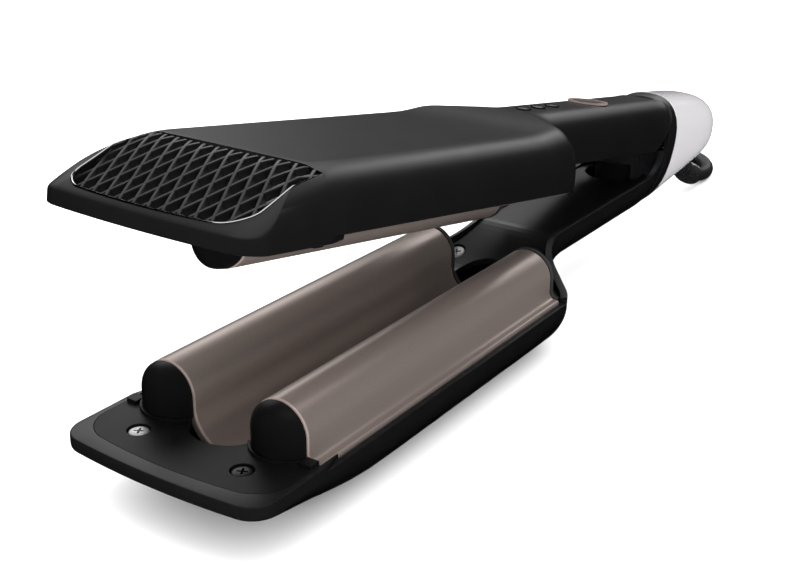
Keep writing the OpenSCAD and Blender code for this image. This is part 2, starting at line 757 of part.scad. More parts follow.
module tail_collar() {
    front = seam_x + seat_gap;
    back = ring_x - running_gap;
    points = concat(
        tail_ring(front, tail_hw, tail_hh, seam_lean), tail_ring(back, tail_hw, tail_hh, seam_lean),
        tail_ring(front, tail_hw - collar_wall, tail_hh - collar_wall, seam_lean),
        tail_ring(back, tail_hw - collar_wall, tail_hh - collar_wall, seam_lean));
    color("#1c1c1e") lower_arm()
        polyhedron(points = points, faces = concat(skin_faces(0, 2, false), skin_faces(2, 2, true),
            band_faces(0, 2, false), band_faces(1, 3, true)));
}

cap_levels = [0, 0.25, 0.5, 0.7, 0.84, 0.92, 0.97, 0.99, 1];
cap_full = 0.996;
function cap_ring(u, thin) =
    let (round_off = pow(1 - pow(u * cap_full, end_power), 1 / end_power),
         hh = (tail_hh * (1 - cap_taper * u)) * round_off - thin,
         hw = tail_hw * round_off - thin)
    tail_ring(ring_x + u * (cap_len - thin), hw, hh, seam_lean * (1 - u));

module cap_shell() {
    n = len(cap_levels);
    points = [for (thin = [0, cap_wall], u = cap_levels) each cap_ring(u, thin)];
    polyhedron(points = points, faces = concat(skin_faces(0, n, false), skin_faces(n, n, true),
        band_faces(0, n, false), end_faces(n - 1, true), end_faces(2 * n - 1, false)));
}

// Cord exit: a ball under the cap's rear end, its socket, and the line on which the cord leaves.
ball_back = 10;
ball_x = tail_x - ball_back;
ball_z = 12.5;
exit_dir = [cos(exit_angle), 0, -sin(exit_angle)];
relief_hole_gap = 0.5;
module on_exit() {
    translate([ball_x, 0, ball_z]) rotate([0, 90 + exit_angle, 0]) children();
}

module chrome_cap() {
    color("gainsboro") lower_arm() difference() {
        cap_shell();
        on_exit() cylinder(r = relief_r + relief_hole_gap, h = 3 * ball_r, $fn = fine);
    }
}

socket_r = ball_r + 0.6;
module cord_socket() {
    color("#1c1c1e") lower_arm() difference() {
        translate([ball_x, 0, ball_z]) rotate([90, 0, 0])
            cylinder(r = socket_r, h = 2 * (cheek_in - seat_gap), center = true, $fn = fine);
        translate([ball_x, 0, ball_z]) sphere(ball_r + running_gap, $fn = fine);
        on_exit() cylinder(r = relief_r + relief_hole_gap, h = 3 * ball_r, $fn = fine);
    }
}

module swivel_ball() {
    color("#1c1c1e") lower_arm() translate([ball_x, 0, ball_z]) sphere(ball_r, $fn = fine);
}

// Strain relief: a ribbed taper that bends from the exit towards the surface.
relief_ribs = 10;
relief_turn = 45;
relief_start = ball_r + 0.3;
relief_straight = 2;
function relief_at(s) =
    let (angle = exit_angle - relief_turn * max(s, 0),
         start = [ball_x, 0, ball_z] + (relief_start + (s < 0 ? 0 : relief_straight)) * exit_dir)
    start + relief_bend * [sin(exit_angle) - sin(angle), 0, cos(exit_angle) - cos(angle)];
function relief_radius(s) = blend(relief_r, relief_tip_r, s);
groove_depth = 1;
module strain_relief() {
    pitch = 1 / (relief_ribs + 1);
    path = concat([concat(relief_at(-1), [relief_radius(0)])],
        [for (k = [0:relief_ribs], e = [[0, 1], [0.62, 1], [0.7, 0], [0.92, 0]])
            let (s = min(1, (k + e[0]) * pitch))
            if (k < relief_ribs || e[0] == 0)
            concat(relief_at(s), [relief_radius(s) - (1 - e[1]) * groove_depth])],
        [concat(relief_at(1), [relief_radius(1)])]);
    color("#1c1c1e") lower_arm() swept_tube(path, 12);
}

// The cord's own points, in the part's frame. It lies on the surface and turns into its coil.
cord_r = cord_d / 2;
cord_points = [
    [174, 0, 6], [177.2, 0, 5.2], [180.6, 0, 4.3], [184, 0, 3.6], [187.5, 0.1, 3.1],
    [191.2, 0.5, 2.85], [196.3, 1.8, 2.8], [201, 4, 2.8], [205.3, 7, 2.8], [209, 10.7, 2.8],
    [212, 15, 2.8], [214.2, 19.7, 2.8], [215.5, 24.8, 2.8], [216, 30, 2.8], [216, 38, 2.8],
    [216, 46, 2.8], [216, 52.4, 2.8]];
coil_outer_r = 42;
coil_start_y = 58.4;
coil_pitch = 6.2;
coil_layer = 6.2;
coil_turns = 4.375;
coil_steps = 24;
coil_lead = 20;
coil_lead_r = 60;
coil_lead_turn = 25;

// The tube's smooth centre line through the chosen points.
function spline(a, b, c, d, u) =
    0.5 * (2 * b + (c - a) * u + (2 * a - 5 * b + 4 * c - d) * u * u + (3 * b - a - 3 * c + d) * u * u * u);
cord_last = len(cord_points) - 1;
cord_path = concat([for (i = [0:cord_last - 1], u = [0, 0.5])
    concat(spline(cord_points[max(i - 1, 0)], cord_points[i], cord_points[i + 1],
        cord_points[min(i + 2, cord_last)], u), [cord_r])], [concat(cord_points[cord_last], [cord_r])]);

// The coil: in along the surface, up a layer at the inside, and out again to the plug.
coil_centre = [cord_points[cord_last][0] - coil_outer_r, coil_start_y];
coil_inner_r = coil_outer_r - coil_pitch * coil_turns;
coil_half = coil_steps / 2;
inward = coil_turns * coil_steps;
coil_turn_back = inward + coil_half / 2;
function coil_at(i) =
    [coil_inner_r + coil_pitch * (abs(i - coil_turn_back) - coil_half / 2) / coil_steps,
     360 * i / coil_steps, ease((i - inward) / coil_half)];
coil_count = 2 * inward + coil_half;
coil_z = cord_points[cord_last][2];
coil_line = [for (i = [0:coil_count]) let (c = coil_at(i))
    [coil_centre[0] + c[0] * cos(c[1]), coil_centre[1] + c[0] * sin(c[1]),
     coil_z + coil_layer * c[2], cord_r]];
plug_z = coil_z + coil_layer;
function lead_at(turn, run) =
    [coil_centre[0] - coil_lead_r * sin(turn) - run * cos(turn),
     coil_centre[1] + coil_outer_r - coil_lead_r * (1 - cos(turn)) - run * sin(turn), plug_z];
plug_start = lead_at(coil_lead_turn, coil_lead);
coil_path = concat([concat(cord_points[cord_last], cord_r)], coil_line,
    [for (k = [1:5]) concat(lead_at(coil_lead_turn * k / 5, 0), cord_r)],
    [for (share = [0.5, 1]) concat(lead_at(coil_lead_turn, share * coil_lead), cord_r)]);
cord_steps = [for (path = [cord_path, coil_path], i = [1:len(path) - 1])
    norm(spot(path[i]) - spot(path[i - 1]))];
echo(coil_gap = self_gap(coil_path, coil_half, cord_d), coil_loops = coil_count / coil_steps,
    cord_length = cord_steps * [for (i = cord_steps) 1]);

module cord_run() {
    color("#18181a") swept_tube(cord_path, 8);
}

module cord_coil() {
    color("#18181a") swept_tube(coil_path, 6);
}

// Plug: a moulded body with two round pins, lying beside the coil.
plug_len = 38;
plug_nose = 14;
plug_w = 30;
pin_gap = 19;
pin_len = 19;
plug_pin_r = 2.4;
module at_plug() {
    translate(plug_start) rotate([0, 0, coil_lead_turn]) rotate([0, -90, 0]) rotate([0, 0, 90]) children();
}

module plug_body() {
    body_r = plug_z;
    reach = plug_w / 2 - body_r;
    color("#18181a") at_plug() difference() {
        union() {
            cylinder(r1 = cord_r + 1, r2 = body_r - 1.5, h = plug_nose, $fn = fine);
            translate([0, 0, plug_nose]) {
                for (side = [-1, 1])
                    translate([side * reach, 0, 0])
                        cylinder(r = body_r, h = plug_len - plug_nose, $fn = fine);
                translate([-reach, -body_r, 0]) cube([2 * reach, 2 * body_r, plug_len - plug_nose]);
            }
        }
        for (side = [-1, 1])
            translate([side * pin_gap / 2, 0, plug_len - 8]) cylinder(r = plug_pin_r, h = 9, $fn = fine);
    }
}

module plug_pins() {
    color("silver") at_plug()
        for (side = [-1, 1])
            translate([side * pin_gap / 2, 0, plug_len - 8 + seat_gap]) {
                cylinder(r = plug_pin_r - running_gap, h = pin_len + 8 - plug_pin_r, $fn = fine);
                translate([0, 0, pin_len + 8 - plug_pin_r])
                    sphere(plug_pin_r - running_gap, $fn = fine);
            }
}

// Hinge: a bracket on the lower handle holds the pin, and a fork on the upper arm turns on it.
cheek_in = 7.2;
cheek_t = 2;
fork_in = 9.9;
fork_t = 2;
fork_r = 6;
fork_tie = 9;
seam_cut = [20, 24];
bracket_front = 26;
bracket_low = 2.4;
bracket_bar = 2.8;
bracket_eye = [[-4, -11], [6, -2], [3, 6], [-7, 5]];
bracket_tie = 7;
bracket_tie_t = 1.6;
module side_plates(inner, t) {
    for (side = [-1, 1])
        translate([0, side * (inner + t / 2), 0])
            rotate([90, 0, 0]) linear_extrude(t, center = true) children();
}

module hinge_bracket() {
    pin = [hinge_x, hinge_z];
    color("silver") lower_arm() difference() {
        union() {
            side_plates(cheek_in, cheek_t)
                polygon(concat([[seam_x - bracket_front, bracket_low], [ring_x + cheek_t, bracket_low]],
                    [for (p = bracket_eye) pin + p],
                    [[seam_x + bracket_tie - cheek_t, bracket_low + bracket_bar],
                        [seam_x - bracket_front, bracket_low + bracket_bar]]));
            translate([seam_x + seat_gap, -cheek_in - cheek_t / 2, bracket_low])
                cube([bracket_tie, 2 * cheek_in + cheek_t, bracket_tie_t]);
        }
        translate([hinge_x, 0, hinge_z]) rotate([90, 0, 0])
            cylinder(r = pin_r, h = 4 * fork_in, center = true, $fn = fine);
    }
}

module hinge_pin() {
    color("silver") lower_arm() translate([hinge_x, 0, hinge_z]) rotate([90, 0, 0])
        cylinder(r = pin_r, h = 2 * (fork_in + fork_t + cut), center = true, $fn = fine);
}

module hinge_fork() {
    axis_z = rim_gap - hinge_z;
    seat_z = grip_edge[UPPER] - panel_drop - panel_t;
    bar = 4.6;
    reach = 35;
    neck = 4;
    color("#26262a") upper_arm() difference() {
        union() {
            side_plates(fork_in, fork_t) {
                polygon([[seam_x - reach, seat_z], [seam_x - neck, seat_z],
                    [ring_x + fork_t, axis_z + 0.9 * neck], [hinge_x, axis_z + neck],
                    [hinge_x, axis_z - neck], [ring_x + fork_t, axis_z - 0.7 * neck],
                    [seam_x - neck, seat_z - bar], [seam_x - reach, seat_z - bar]]);
                translate([hinge_x, axis_z]) circle(fork_r, $fn = fine);
            }
            translate([seam_x - reach, -fork_in - fork_t / 2, seat_z - fork_t])
                cube([fork_tie, 2 * fork_in + fork_t, fork_t]);
        }
        translate([hinge_x, 0, axis_z]) rotate([90, 0, 0])
            cylinder(r = pin_r + running_gap, h = 4 * fork_in, center = true, $fn = fine);
    }
}

// Controls on the upper handle, in the arm frame: its back is at negative Z.
press_x = plate_len + button_x;
function on_back(x) = back_z(UPPER, x);
back_tilt = atan(upper_rise / seam_x);
module at_button() {
    translate([press_x, 0, on_back(press_x)]) rotate([0, back_tilt, 0]) children();
}
bezel_h = 0.6;
module controls_holes() {
    at_button() translate([0, 0, -1])
        cylinder(r = button_r + bezel_w / 2 + running_gap, h = wall + 3, $fn = fine);
    at_lamps() translate([0, 0, -1]) cylinder(r = lamp_r + running_gap, h = wall + 3, $fn = fine);
}

module button_bezel() {
    color("#b79a96") upper_arm() at_button() {
        translate([0, 0, -bezel_h]) tube(button_r + bezel_w, button_r + running_gap, bezel_h);
        translate([0, 0, -cut]) tube(button_r + bezel_w / 2, button_r + running_gap, wall + cut);
    }
}

dish = 0.5;
dish_r = 22;
board_t = 1.6;
switch_h = 3.2;
board_drop = 5.2;
board_z = grip_edge[UPPER] - panel_drop - panel_t - board_drop;
switch_z = board_z - board_t - switch_h;
module power_button() {
    top = -bezel_h / 2;
    stem_l = switch_z - on_back(press_x) - button_travel - seat_gap - top;
    color("#2a2a2c") upper_arm() at_button() translate([0, 0, top]) difference() {
        union() {
            cylinder(r = button_r, h = 2, $fn = fine);
            cylinder(r = 1.5, h = stem_l, $fn = fine);
        }
        translate([0, 0, dish - dish_r]) sphere(dish_r, $fn = fine);
    }
}

module power_switch() {
    half = 3.2;
    color("gray") upper_arm() translate([press_x - half, -half, switch_z])
        cube([2 * half, 2 * half, switch_h]);
}

board_front = plate_len + 16;
board_back = press_x + 10;
board_hw = 9;
post_r = 1.6;
post_y = 6;
post_hole_r = 1;
module at_posts() {
    for (x = [board_front + 14, press_x - 12], side = [-1, 1])
        translate([x, side * post_y, board_z]) children();
}

module control_board() {
    color("darkgreen") upper_arm() difference() {
        translate([board_front, -board_hw, board_z - board_t])
            cube([board_back - board_front, 2 * board_hw, board_t]);
        at_posts() translate([0, 0, -board_t - 1]) cylinder(r = post_hole_r, h = 2 * board_t + 1, $fn = fine);
    }
}

module board_posts() {
    at_posts() cylinder(r = post_r, h = board_drop + panel_t / 2, $fn = fine);
}

lamp_ring_w = 0.7;
lamp_ring_h = 0.3;
lens_proud = 0.2;
module at_lamps() {
    for (k = [0:2]) let (x = plate_len + lamp_x + k * lamp_pitch)
        translate([x, 0, on_back(x)]) rotate([0, back_tilt, 0]) children();
}

module indicator_rings() {
    color("silver") upper_arm() at_lamps() translate([0, 0, -lamp_ring_h - running_gap])
        tube(lamp_r + lamp_ring_w, lamp_r + running_gap, lamp_ring_h);
}

module indicator_lenses() {
    color("lightgray") upper_arm() at_lamps() translate([0, 0, -lens_proud])
        cylinder(r = lamp_r, h = wall + 1, $fn = fine);
}

// Sub-parts of the lower arm.
module lower_case() {
    color("#1c1c1e") lower_arm() difference() {
        casing_with_window(LOWER);
        translate([seam_x - seam_cut[LOWER] / 2, -cheek_in - cheek_t - seat_gap, bracket_low - seat_gap])
            cube([seam_cut[LOWER], 2 * (cheek_in + cheek_t + seat_gap), lower_grip_z]);
    }
}

module lower_grille() {
    color("#161618") lower_arm() grille(LOWER);
}

module lower_grille_trim() {
    color("silver") lower_arm() grille_trim(LOWER);
}

module lower_grille_backing() {
    color("dimgray") lower_arm() grille_backing(LOWER);
}

module lower_nose_plate() {
    color("#222224") lower_arm() nose_plate(LOWER);
}

module lower_barrel_caps() {
    color("#141416") lower_arm() for (y = ridges[LOWER]) barrel_cap(LOWER, y);
}

module lower_screws() {
    color("silver") lower_arm() screws(LOWER);
}

module lower_wave_plate() {
    color("#85756e") lower_arm() wave_plate(LOWER);
}

module lower_gasket() {
    color("#101012") lower_arm() gasket(LOWER);
}

module lower_inner_panel() {
    color("#19191b") lower_arm() difference() {
        inner_panel(LOWER);
        translate([spring_x, 0, 0]) cylinder(r = hood_r + hood_hole_gap, h = lower_grip_z + 1, $fn = fine);
    }
}

module lower_heaters() {
    color("tan") lower_arm() heaters(LOWER);
}

// Sub-parts of the upper arm.
module upper_case() {
    color("#1c1c1e") upper_arm() difference() {
        casing_with_window(UPPER);
        controls_holes();
        translate([seam_x - seam_cut[UPPER] / 2, -fork_in - fork_t - seat_gap, rim_gap - hinge_z - 7])
            cube([seam_cut[UPPER], 2 * (fork_in + fork_t + seat_gap), hinge_z]);
    }
}

module upper_grille() {
    color("#161618") upper_arm() grille(UPPER);
}

module upper_grille_trim() {
    color("silver") upper_arm() grille_trim(UPPER);
}

module upper_grille_backing() {
    color("dimgray") upper_arm() grille_backing(UPPER);
}

module upper_nose_plate() {
    color("#222224") upper_arm() nose_plate(UPPER);
}

module upper_barrel_cap() {
    color("#141416") upper_arm() barrel_cap(UPPER, ridges[UPPER][0]);
}

module upper_screws() {
    color("silver") upper_arm() screws(UPPER);
}

module upper_wave_plate() {
    color("#85756e") upper_arm() wave_plate(UPPER);
}

module upper_gasket() {
    color("#101012") upper_arm() gasket(UPPER);
}

module upper_inner_panel() {
    color("#19191b") upper_arm() {
        difference() {
            inner_panel(UPPER);
            translate([spring_x, 0, grip_edge[UPPER] - panel_drop - panel_t - 1])
                cylinder(r = hood_r + guide_hole_gap, h = panel_t + 2, $fn = fine);
        }
        board_posts();
    }
}

module upper_heaters() {
    color("tan") upper_arm() heaters(UPPER);
}

lower_case();
lower_grille();
lower_grille_trim();
lower_grille_backing();
lower_nose_plate();
lower_barrel_caps();
lower_screws();
lower_wave_plate();
lower_gasket();
lower_inner_panel();
lower_heaters();
spring_guide();
opening_spring();
tail_collar();
chrome_cap();
hinge_bracket();
hinge_pin();
cord_socket();
swivel_ball();
strain_relief();
cord_run();
cord_coil();
plug_body();
plug_pins();
upper_case();
upper_grille();
upper_grille_trim();
upper_grille_backing();
upper_nose_plate();
upper_barrel_cap();
upper_screws();
upper_wave_plate();
upper_gasket();
upper_inner_panel();
upper_heaters();
spring_hood();
hinge_fork();
control_board();
power_switch();
indicator_rings();
indicator_lenses();
button_bezel();
power_button();
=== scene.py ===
"""Visual model of an open hair waver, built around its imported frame.

Both arms are drawn in one arm frame, in millimetres: x = 0 at the front of the wave plate, z = 0 at
the rim of the nose and the casing's back at negative z. An arm's matrix sets that frame in the row.
"""

from __future__ import annotations

import logging
import math
from collections.abc import Callable, Sequence
from dataclasses import dataclass
from enum import Enum

import bmesh
import bpy
from mathutils import Matrix, Vector
from mathutils.bvhtree import BVHTree


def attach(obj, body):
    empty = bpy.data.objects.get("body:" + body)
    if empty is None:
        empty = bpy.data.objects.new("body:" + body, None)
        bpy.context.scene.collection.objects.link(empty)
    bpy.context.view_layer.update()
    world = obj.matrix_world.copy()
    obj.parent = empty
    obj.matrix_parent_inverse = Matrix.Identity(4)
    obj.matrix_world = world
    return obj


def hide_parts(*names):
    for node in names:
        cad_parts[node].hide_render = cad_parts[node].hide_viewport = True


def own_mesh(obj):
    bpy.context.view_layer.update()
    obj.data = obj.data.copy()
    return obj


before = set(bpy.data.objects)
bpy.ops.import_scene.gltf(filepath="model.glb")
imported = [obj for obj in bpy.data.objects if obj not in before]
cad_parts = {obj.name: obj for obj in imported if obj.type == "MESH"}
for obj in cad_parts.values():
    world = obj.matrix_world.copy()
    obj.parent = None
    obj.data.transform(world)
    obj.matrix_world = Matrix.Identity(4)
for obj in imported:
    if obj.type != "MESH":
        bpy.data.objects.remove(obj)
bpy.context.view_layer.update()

LOG = logging.getLogger("hair_waver")
MM = 0.001
Colour = tuple[float, float, float]
Number = "float | Wire"
Settings = dict[str, object]
Inputs = dict[int | str, object]
Height = Callable[[float, float], float]


# ---------------------------------------------------------------- shader maths


class Wire:
    """A value that varies over a surface: one socket, with arithmetic that adds Math nodes."""

    def __init__(self, tree: ShaderTree, socket: bpy.types.NodeSocket) -> None:
        """Wraps an output socket of a tree."""
        self.tree = tree
        self.socket = socket

    def maths(self, operation: str, *operands: Number) -> Wire:
        """Result of one Math node with its inputs in order."""
        return self.tree.node("ShaderNodeMath", {"operation": operation}, dict(enumerate(operands)))

    def __add__(self, other: Number) -> Wire:
        """Sum."""
        return self.maths("ADD", self, other)

    __radd__ = __add__

    def __mul__(self, other: Number) -> Wire:
        """Product."""
        return self.maths("MULTIPLY", self, other)

    __rmul__ = __mul__

    def __sub__(self, other: Number) -> Wire:
        """Difference."""
        return self.maths("SUBTRACT", self, other)

    def __rsub__(self, other: Number) -> Wire:
        """Difference with the value on the right."""
        return self.maths("SUBTRACT", other, self)

    def ramp(self, low: float, high: float, start: float = 0.0, end: float = 1.0) -> Wire:
        """Eases the value from one range to another.

        Args:
            low: Value that gives start.
            high: Value that gives end.
            start: Result at and under low.
            end: Result at and over high.

        Returns:
            The eased value.
        """
        settings = {"interpolation_type": "SMOOTHSTEP"}
        inputs = {0: self, 1: low, 2: high, 3: start, 4: end}
        return self.tree.node("ShaderNodeMapRange", settings, inputs)


class ShaderTree:
    """The node tree of one material with its Principled shader."""

    def __init__(self, name: str) -> None:
        """Makes an empty material with a Principled shader."""
        self.material = bpy.data.materials.new(name)
        self.material.use_nodes = True
        self.nodes = self.material.node_tree.nodes
        self.links = self.material.node_tree.links
        self.shader = self.nodes["Principled BSDF"]

    def node(self, kind: str, settings: Settings, inputs: Inputs, output: int = 0) -> Wire:
        """Adds a node.

        Args:
            kind: The node's type.
            settings: Attributes, which are set first.
            inputs: Values or wires by the socket's index or name.
            output: Index of the output that is used.

        Returns:
            That output.
        """
        made = self.nodes.new(kind)
        for key, value in settings.items():
            setattr(made, key, value)
        for key, value in inputs.items():
            self.feed(made.inputs[key], value)
        return Wire(self, made.outputs[output])

    def feed(self, socket: bpy.types.NodeSocket, value: object) -> None:
        """Links a wire to a socket or sets its value.

        Args:
            socket: The input socket.
            value: A wire, a number or a colour.
        """
        if isinstance(value, Wire):
            self.links.new(value.socket, socket)
        elif isinstance(value, tuple) and socket.type == "RGBA":
            socket.default_value = (*value, 1.0)
        else:
            socket.default_value = value

    def set(self, **values: object) -> None:
        """Feeds sockets of the shader, named with underscores for spaces."""
        for key, value in values.items():
            self.feed(self.shader.inputs[key.replace("_", " ")], value)

    def place(self) -> Wire:
        """The surface's place in the part, in metres."""
        return self.node("ShaderNodeTexCoord", {}, {}, 3)

    def noise(self, size: float, detail: float = 2.0, stretch: Colour = (1.0, 1.0, 1.0)) -> Wire:
        """Noise in the part's own space.

        Args:
            size: Size of its features in millimetres.
            detail: Octaves.
            stretch: Scale along each axis.

        Returns:
            Its value, about 0 to 1.
        """
        at = self.node("ShaderNodeMapping", {}, {0: self.place(), 3: stretch})
        inputs: Inputs = {"Vector": at, "Scale": 1.0 / (size * MM), "Detail": detail, "Roughness": 0.5}
        return self.node("ShaderNodeTexNoise", {}, inputs)

    def mix(self, share: Number, first: object, second: object) -> Wire:
        """Blends two colours by the share of the second."""
        return self.node("ShaderNodeMix", {"data_type": "RGBA"}, {0: share, 6: first, 7: second}, 2)

    def bump(self, height: Wire, depth: float, edge: float) -> Wire:
        """Bump from a height between 0 and 1.

        Args:
            height: The height.
            depth: Its full depth in millimetres.
            edge: Radius in millimetres over which the edges look rounded, or 0.

        Returns:
            The normal.
        """
        inputs: Inputs = {"Strength": 1.0, "Distance": depth * MM, "Height": height}
        if edge:
            inputs["Normal"] = self.node("ShaderNodeBevel", {"samples": 6}, {"Radius": edge * MM})
        return self.node("ShaderNodeBump", {}, inputs)


def tints(colour: Colour, share: float) -> tuple[Colour, ...]:
    """A colour darkened and lightened by a share."""
    return tuple(tuple(min(1.0, (1 + way * share) * c) for c in colour) for way in (-1, 1))


@dataclass(frozen=True)
class Plastic:
    """Moulded plastic or rubber with a fine grain.

    Attributes:
        name: Name of the material.
        colour: Its colour.
        rough: Its roughness.
        grain: Size of the grain in millimetres.
        grain_depth: Depth of the grain in millimetres.
        specular: Strength of its gloss.
        edge: Radius of the softened edges in millimetres.
        coat: Weight of a clear gloss on top.
    """

    name: str
    colour: Colour
    rough: float
    grain: float = 0.25
    grain_depth: float = 0.004
    specular: float = 0.5
    edge: float = 0.0
    coat: float = 0.0

    CLOUD_SIZE, CLOUD_SHARE = 9.0, 0.06
    COAT_ROUGH = 0.12

    def material(self) -> bpy.types.Material:
        """Builds the material.

        Returns:
            The material.
        """
        tree = ShaderTree(self.name)
        cloud = tree.noise(self.CLOUD_SIZE, 3.0)
        grain = tree.noise(self.grain, 2.0)
        dull = cloud.ramp(0.25, 0.75, self.rough - 0.008, self.rough + 0.01)
        tree.set(
            Base_Color=tree.mix(cloud.ramp(0.3, 0.7), *tints(self.colour, self.CLOUD_SHARE)),
            Roughness=dull + grain.ramp(0.2, 0.8, -0.02, 0.02),
            Specular_IOR_Level=self.specular,
            Coat_Weight=self.coat,
            Coat_Roughness=self.COAT_ROUGH,
            Normal=tree.bump(grain, self.grain_depth, self.edge),
        )
        return tree.material


@dataclass(frozen=True)
class Metal:
    """Metal, bare, plated or with a satin coat.

    Attributes:
        name: Name of the material.
        colour: Its colour.
        rough: Its roughness.
        speckle: Size of the speckle in millimetres.
        speckle_share: How much the speckle changes the colour.
        streak: Stretch of the speckle along the part.
        depth: Depth of the speckle's bump in millimetres.
        edge: Radius of the softened edges in millimetres.
        metal: Share that is bare metal.
    """

    name: str
    colour: Colour
    rough: float
    speckle: float = 0.3
    speckle_share: float = 0.1
    streak: Colour = (1.0, 1.0, 1.0)
    depth: float = 0.001
    edge: float = 0.0
    metal: float = 1.0

    CLOUD_SIZE = 14.0

    def material(self) -> bpy.types.Material:
        """Builds the material.

        Returns:
            The material.
        """
        tree = ShaderTree(self.name)
        speckle = tree.noise(self.speckle, 2.0, self.streak)
        cloud = tree.noise(self.CLOUD_SIZE, 2.0)
        dull = cloud.ramp(0.3, 0.7, self.rough - 0.01, self.rough + 0.01)
        tree.set(
            Base_Color=tree.mix(speckle.ramp(0.3, 0.7), *tints(self.colour, self.speckle_share)),
            Metallic=self.metal,
            Roughness=dull + speckle.ramp(0.2, 0.8, -0.02, 0.02),
            Normal=tree.bump(speckle, self.depth, self.edge),
        )
        return tree.material


class Finish(Enum):
    """The finishes of the waver's pieces."""

    CASE = Plastic("case_satin_black", (0.0052, 0.0052, 0.0058), 0.38, 0.16, 0.0012, specular=0.34)
    NOSE = Plastic(
        "nose_textured_black", (0.0035, 0.0035, 0.0038), 0.52, 0.3, 0.014, specular=0.32, edge=0.25
    )
    PANEL = Plastic("panel_glossy_black", (0.003, 0.003, 0.0033), 0.3, 0.3, 0.001, edge=0.3)
    CAP = Plastic("barrel_cap_black", (0.0035, 0.0035, 0.0038), 0.5, 0.3, 0.006, specular=0.3)
    GASKET = Plastic("gasket_black", (0.004, 0.004, 0.0045), 0.34, 0.3, 0.001, edge=0.35)
    LATTICE = Plastic("lattice_black", (0.006, 0.006, 0.0065), 0.42, 0.2, 0.002)
    BACKING = Plastic("backing_grey", (0.045, 0.045, 0.047), 0.3, 0.3, 0.003)
    GUIDE = Plastic("guide_black", (0.003, 0.003, 0.0033), 0.5, 0.3, 0.002, specular=0.12)
    HOOD = Plastic("hood_glossy_black", (0.006, 0.006, 0.0065), 0.2, 0.3, 0.001, edge=0.3, coat=0.3)
    SHEATH = Plastic("cord_sheath_black", (0.01, 0.01, 0.0105), 0.48, 0.35, 0.006)
    BUTTON = Plastic("button_black", (0.01, 0.01, 0.0105), 0.3, 0.3, 0.001, edge=0.25)
    LENS = Plastic("lens_smoke", (0.05, 0.05, 0.052), 0.12, 0.4, 0.0005, coat=0.6)
    SWITCH = Plastic("switch_grey", (0.3, 0.3, 0.3), 0.5, edge=0.2)
    BOARD = Plastic("board_green", (0.02, 0.12, 0.05), 0.35, 0.8, 0.01, edge=0.1, coat=0.4)
    PLATE = Metal("plate_rose_taupe", (0.335, 0.279, 0.255), 0.36, 0.22, 0.07, depth=0.0012, metal=0.7)
    # Painted highlight: a lighter, less metallic copy of the plate's colour on its rounded ends stands in for
    # the bright rim highlight there.
    PLATE_EDGE_PAINTED_HIGHLIGHT = Metal("plate_edge_painted_highlight", (0.42, 0.33, 0.3), 0.3, 0.2, 0.06, metal=0.4)
    # Painted reflection: the chrome is only 55 per cent metal; the rest is a pale lilac diffuse colour that
    # stands in for the reflection of the white surroundings, which glossy rays don't see.
    CHROME = Metal("chrome_painted_reflection", (0.84, 0.81, 0.84), 0.1, 0.5, 0.02, depth=0.0002, metal=0.55)
    TRIM = Metal("trim_silver", (0.3, 0.3, 0.305), 0.3, 0.3, 0.05, metal=0.4)
    ROSE = Metal("ring_rose", (0.4, 0.3, 0.28), 0.22, 0.3, 0.05, edge=0.15, metal=0.5)
    ZINC = Metal("screw_zinc", (0.5, 0.5, 0.5), 0.34, 0.25, 0.12, depth=0.004, metal=0.5)
    # Painted shade: a near-black copy of the zinc, given to the near nose screw to paint it in shade.
    ZINC_PAINTED_SHADE = Metal("screw_zinc_painted_shade", (0.05, 0.05, 0.052), 0.4, 0.25, 0.12, depth=0.004)
    BLACK_STEEL = Metal("steel_black_oxide", (0.007, 0.007, 0.0075), 0.42, 0.3, 0.1, depth=0.003, metal=0.3)
    STEEL = Metal("steel_sheet", (0.52, 0.52, 0.53), 0.38, 0.3, 0.1, (0.15, 1.0, 1.0), 0.003, edge=0.2)
    HEATER = Metal("heater_cast", (0.2, 0.19, 0.18), 0.55, 0.6, 0.15, depth=0.02, edge=0.2)

    @property
    def made(self) -> bpy.types.Material:
        """The finish's material, made once."""
        found = bpy.data.materials.get(self.value.name)
        return found if found else self.value.material()


# ---------------------------------------------------------------- mesh helpers


def ease(u: float) -> float:
    """Smooth step from 0 to 1."""
    u = min(max(u, 0.0), 1.0)
    return u * u * (3 - 2 * u)


def blend(a: float, b: float, u: float) -> float:
    """Straight blend from a to b."""
    return a + (b - a) * u


def full_turn(steps: int) -> list[float]:
    """The angles of a full turn in equal steps."""
    return [2 * math.pi * k / steps for k in range(steps)]


def heading(path: Sequence[Vector], i: int) -> Vector:
    """Direction of a path at its point i."""
    return (path[min(i + 1, len(path) - 1)] - path[max(i - 1, 0)]).normalized()


def bezier(a: Vector, b: Vector, c: Vector, steps: int) -> list[Vector]:
    """Points of the curve that rounds the corner b between a and c, ends included."""
    return [a.lerp(b, k / steps).lerp(b.lerp(c, k / steps), k / steps) for k in range(steps + 1)]


def toward(a: Vector, b: Vector, length: float) -> Vector:
    """The point a length from a on the way to b, half way at most."""
    gap = b - a
    return a + gap * min(0.5, length / max(gap.length, 1e-6))


def add_object(name: str, data: bpy.types.ID) -> bpy.types.Object:
    """Makes an object of some data and adds it to the scene."""
    made = bpy.data.objects.new(name, data)
    bpy.context.scene.collection.objects.link(made)
    return made


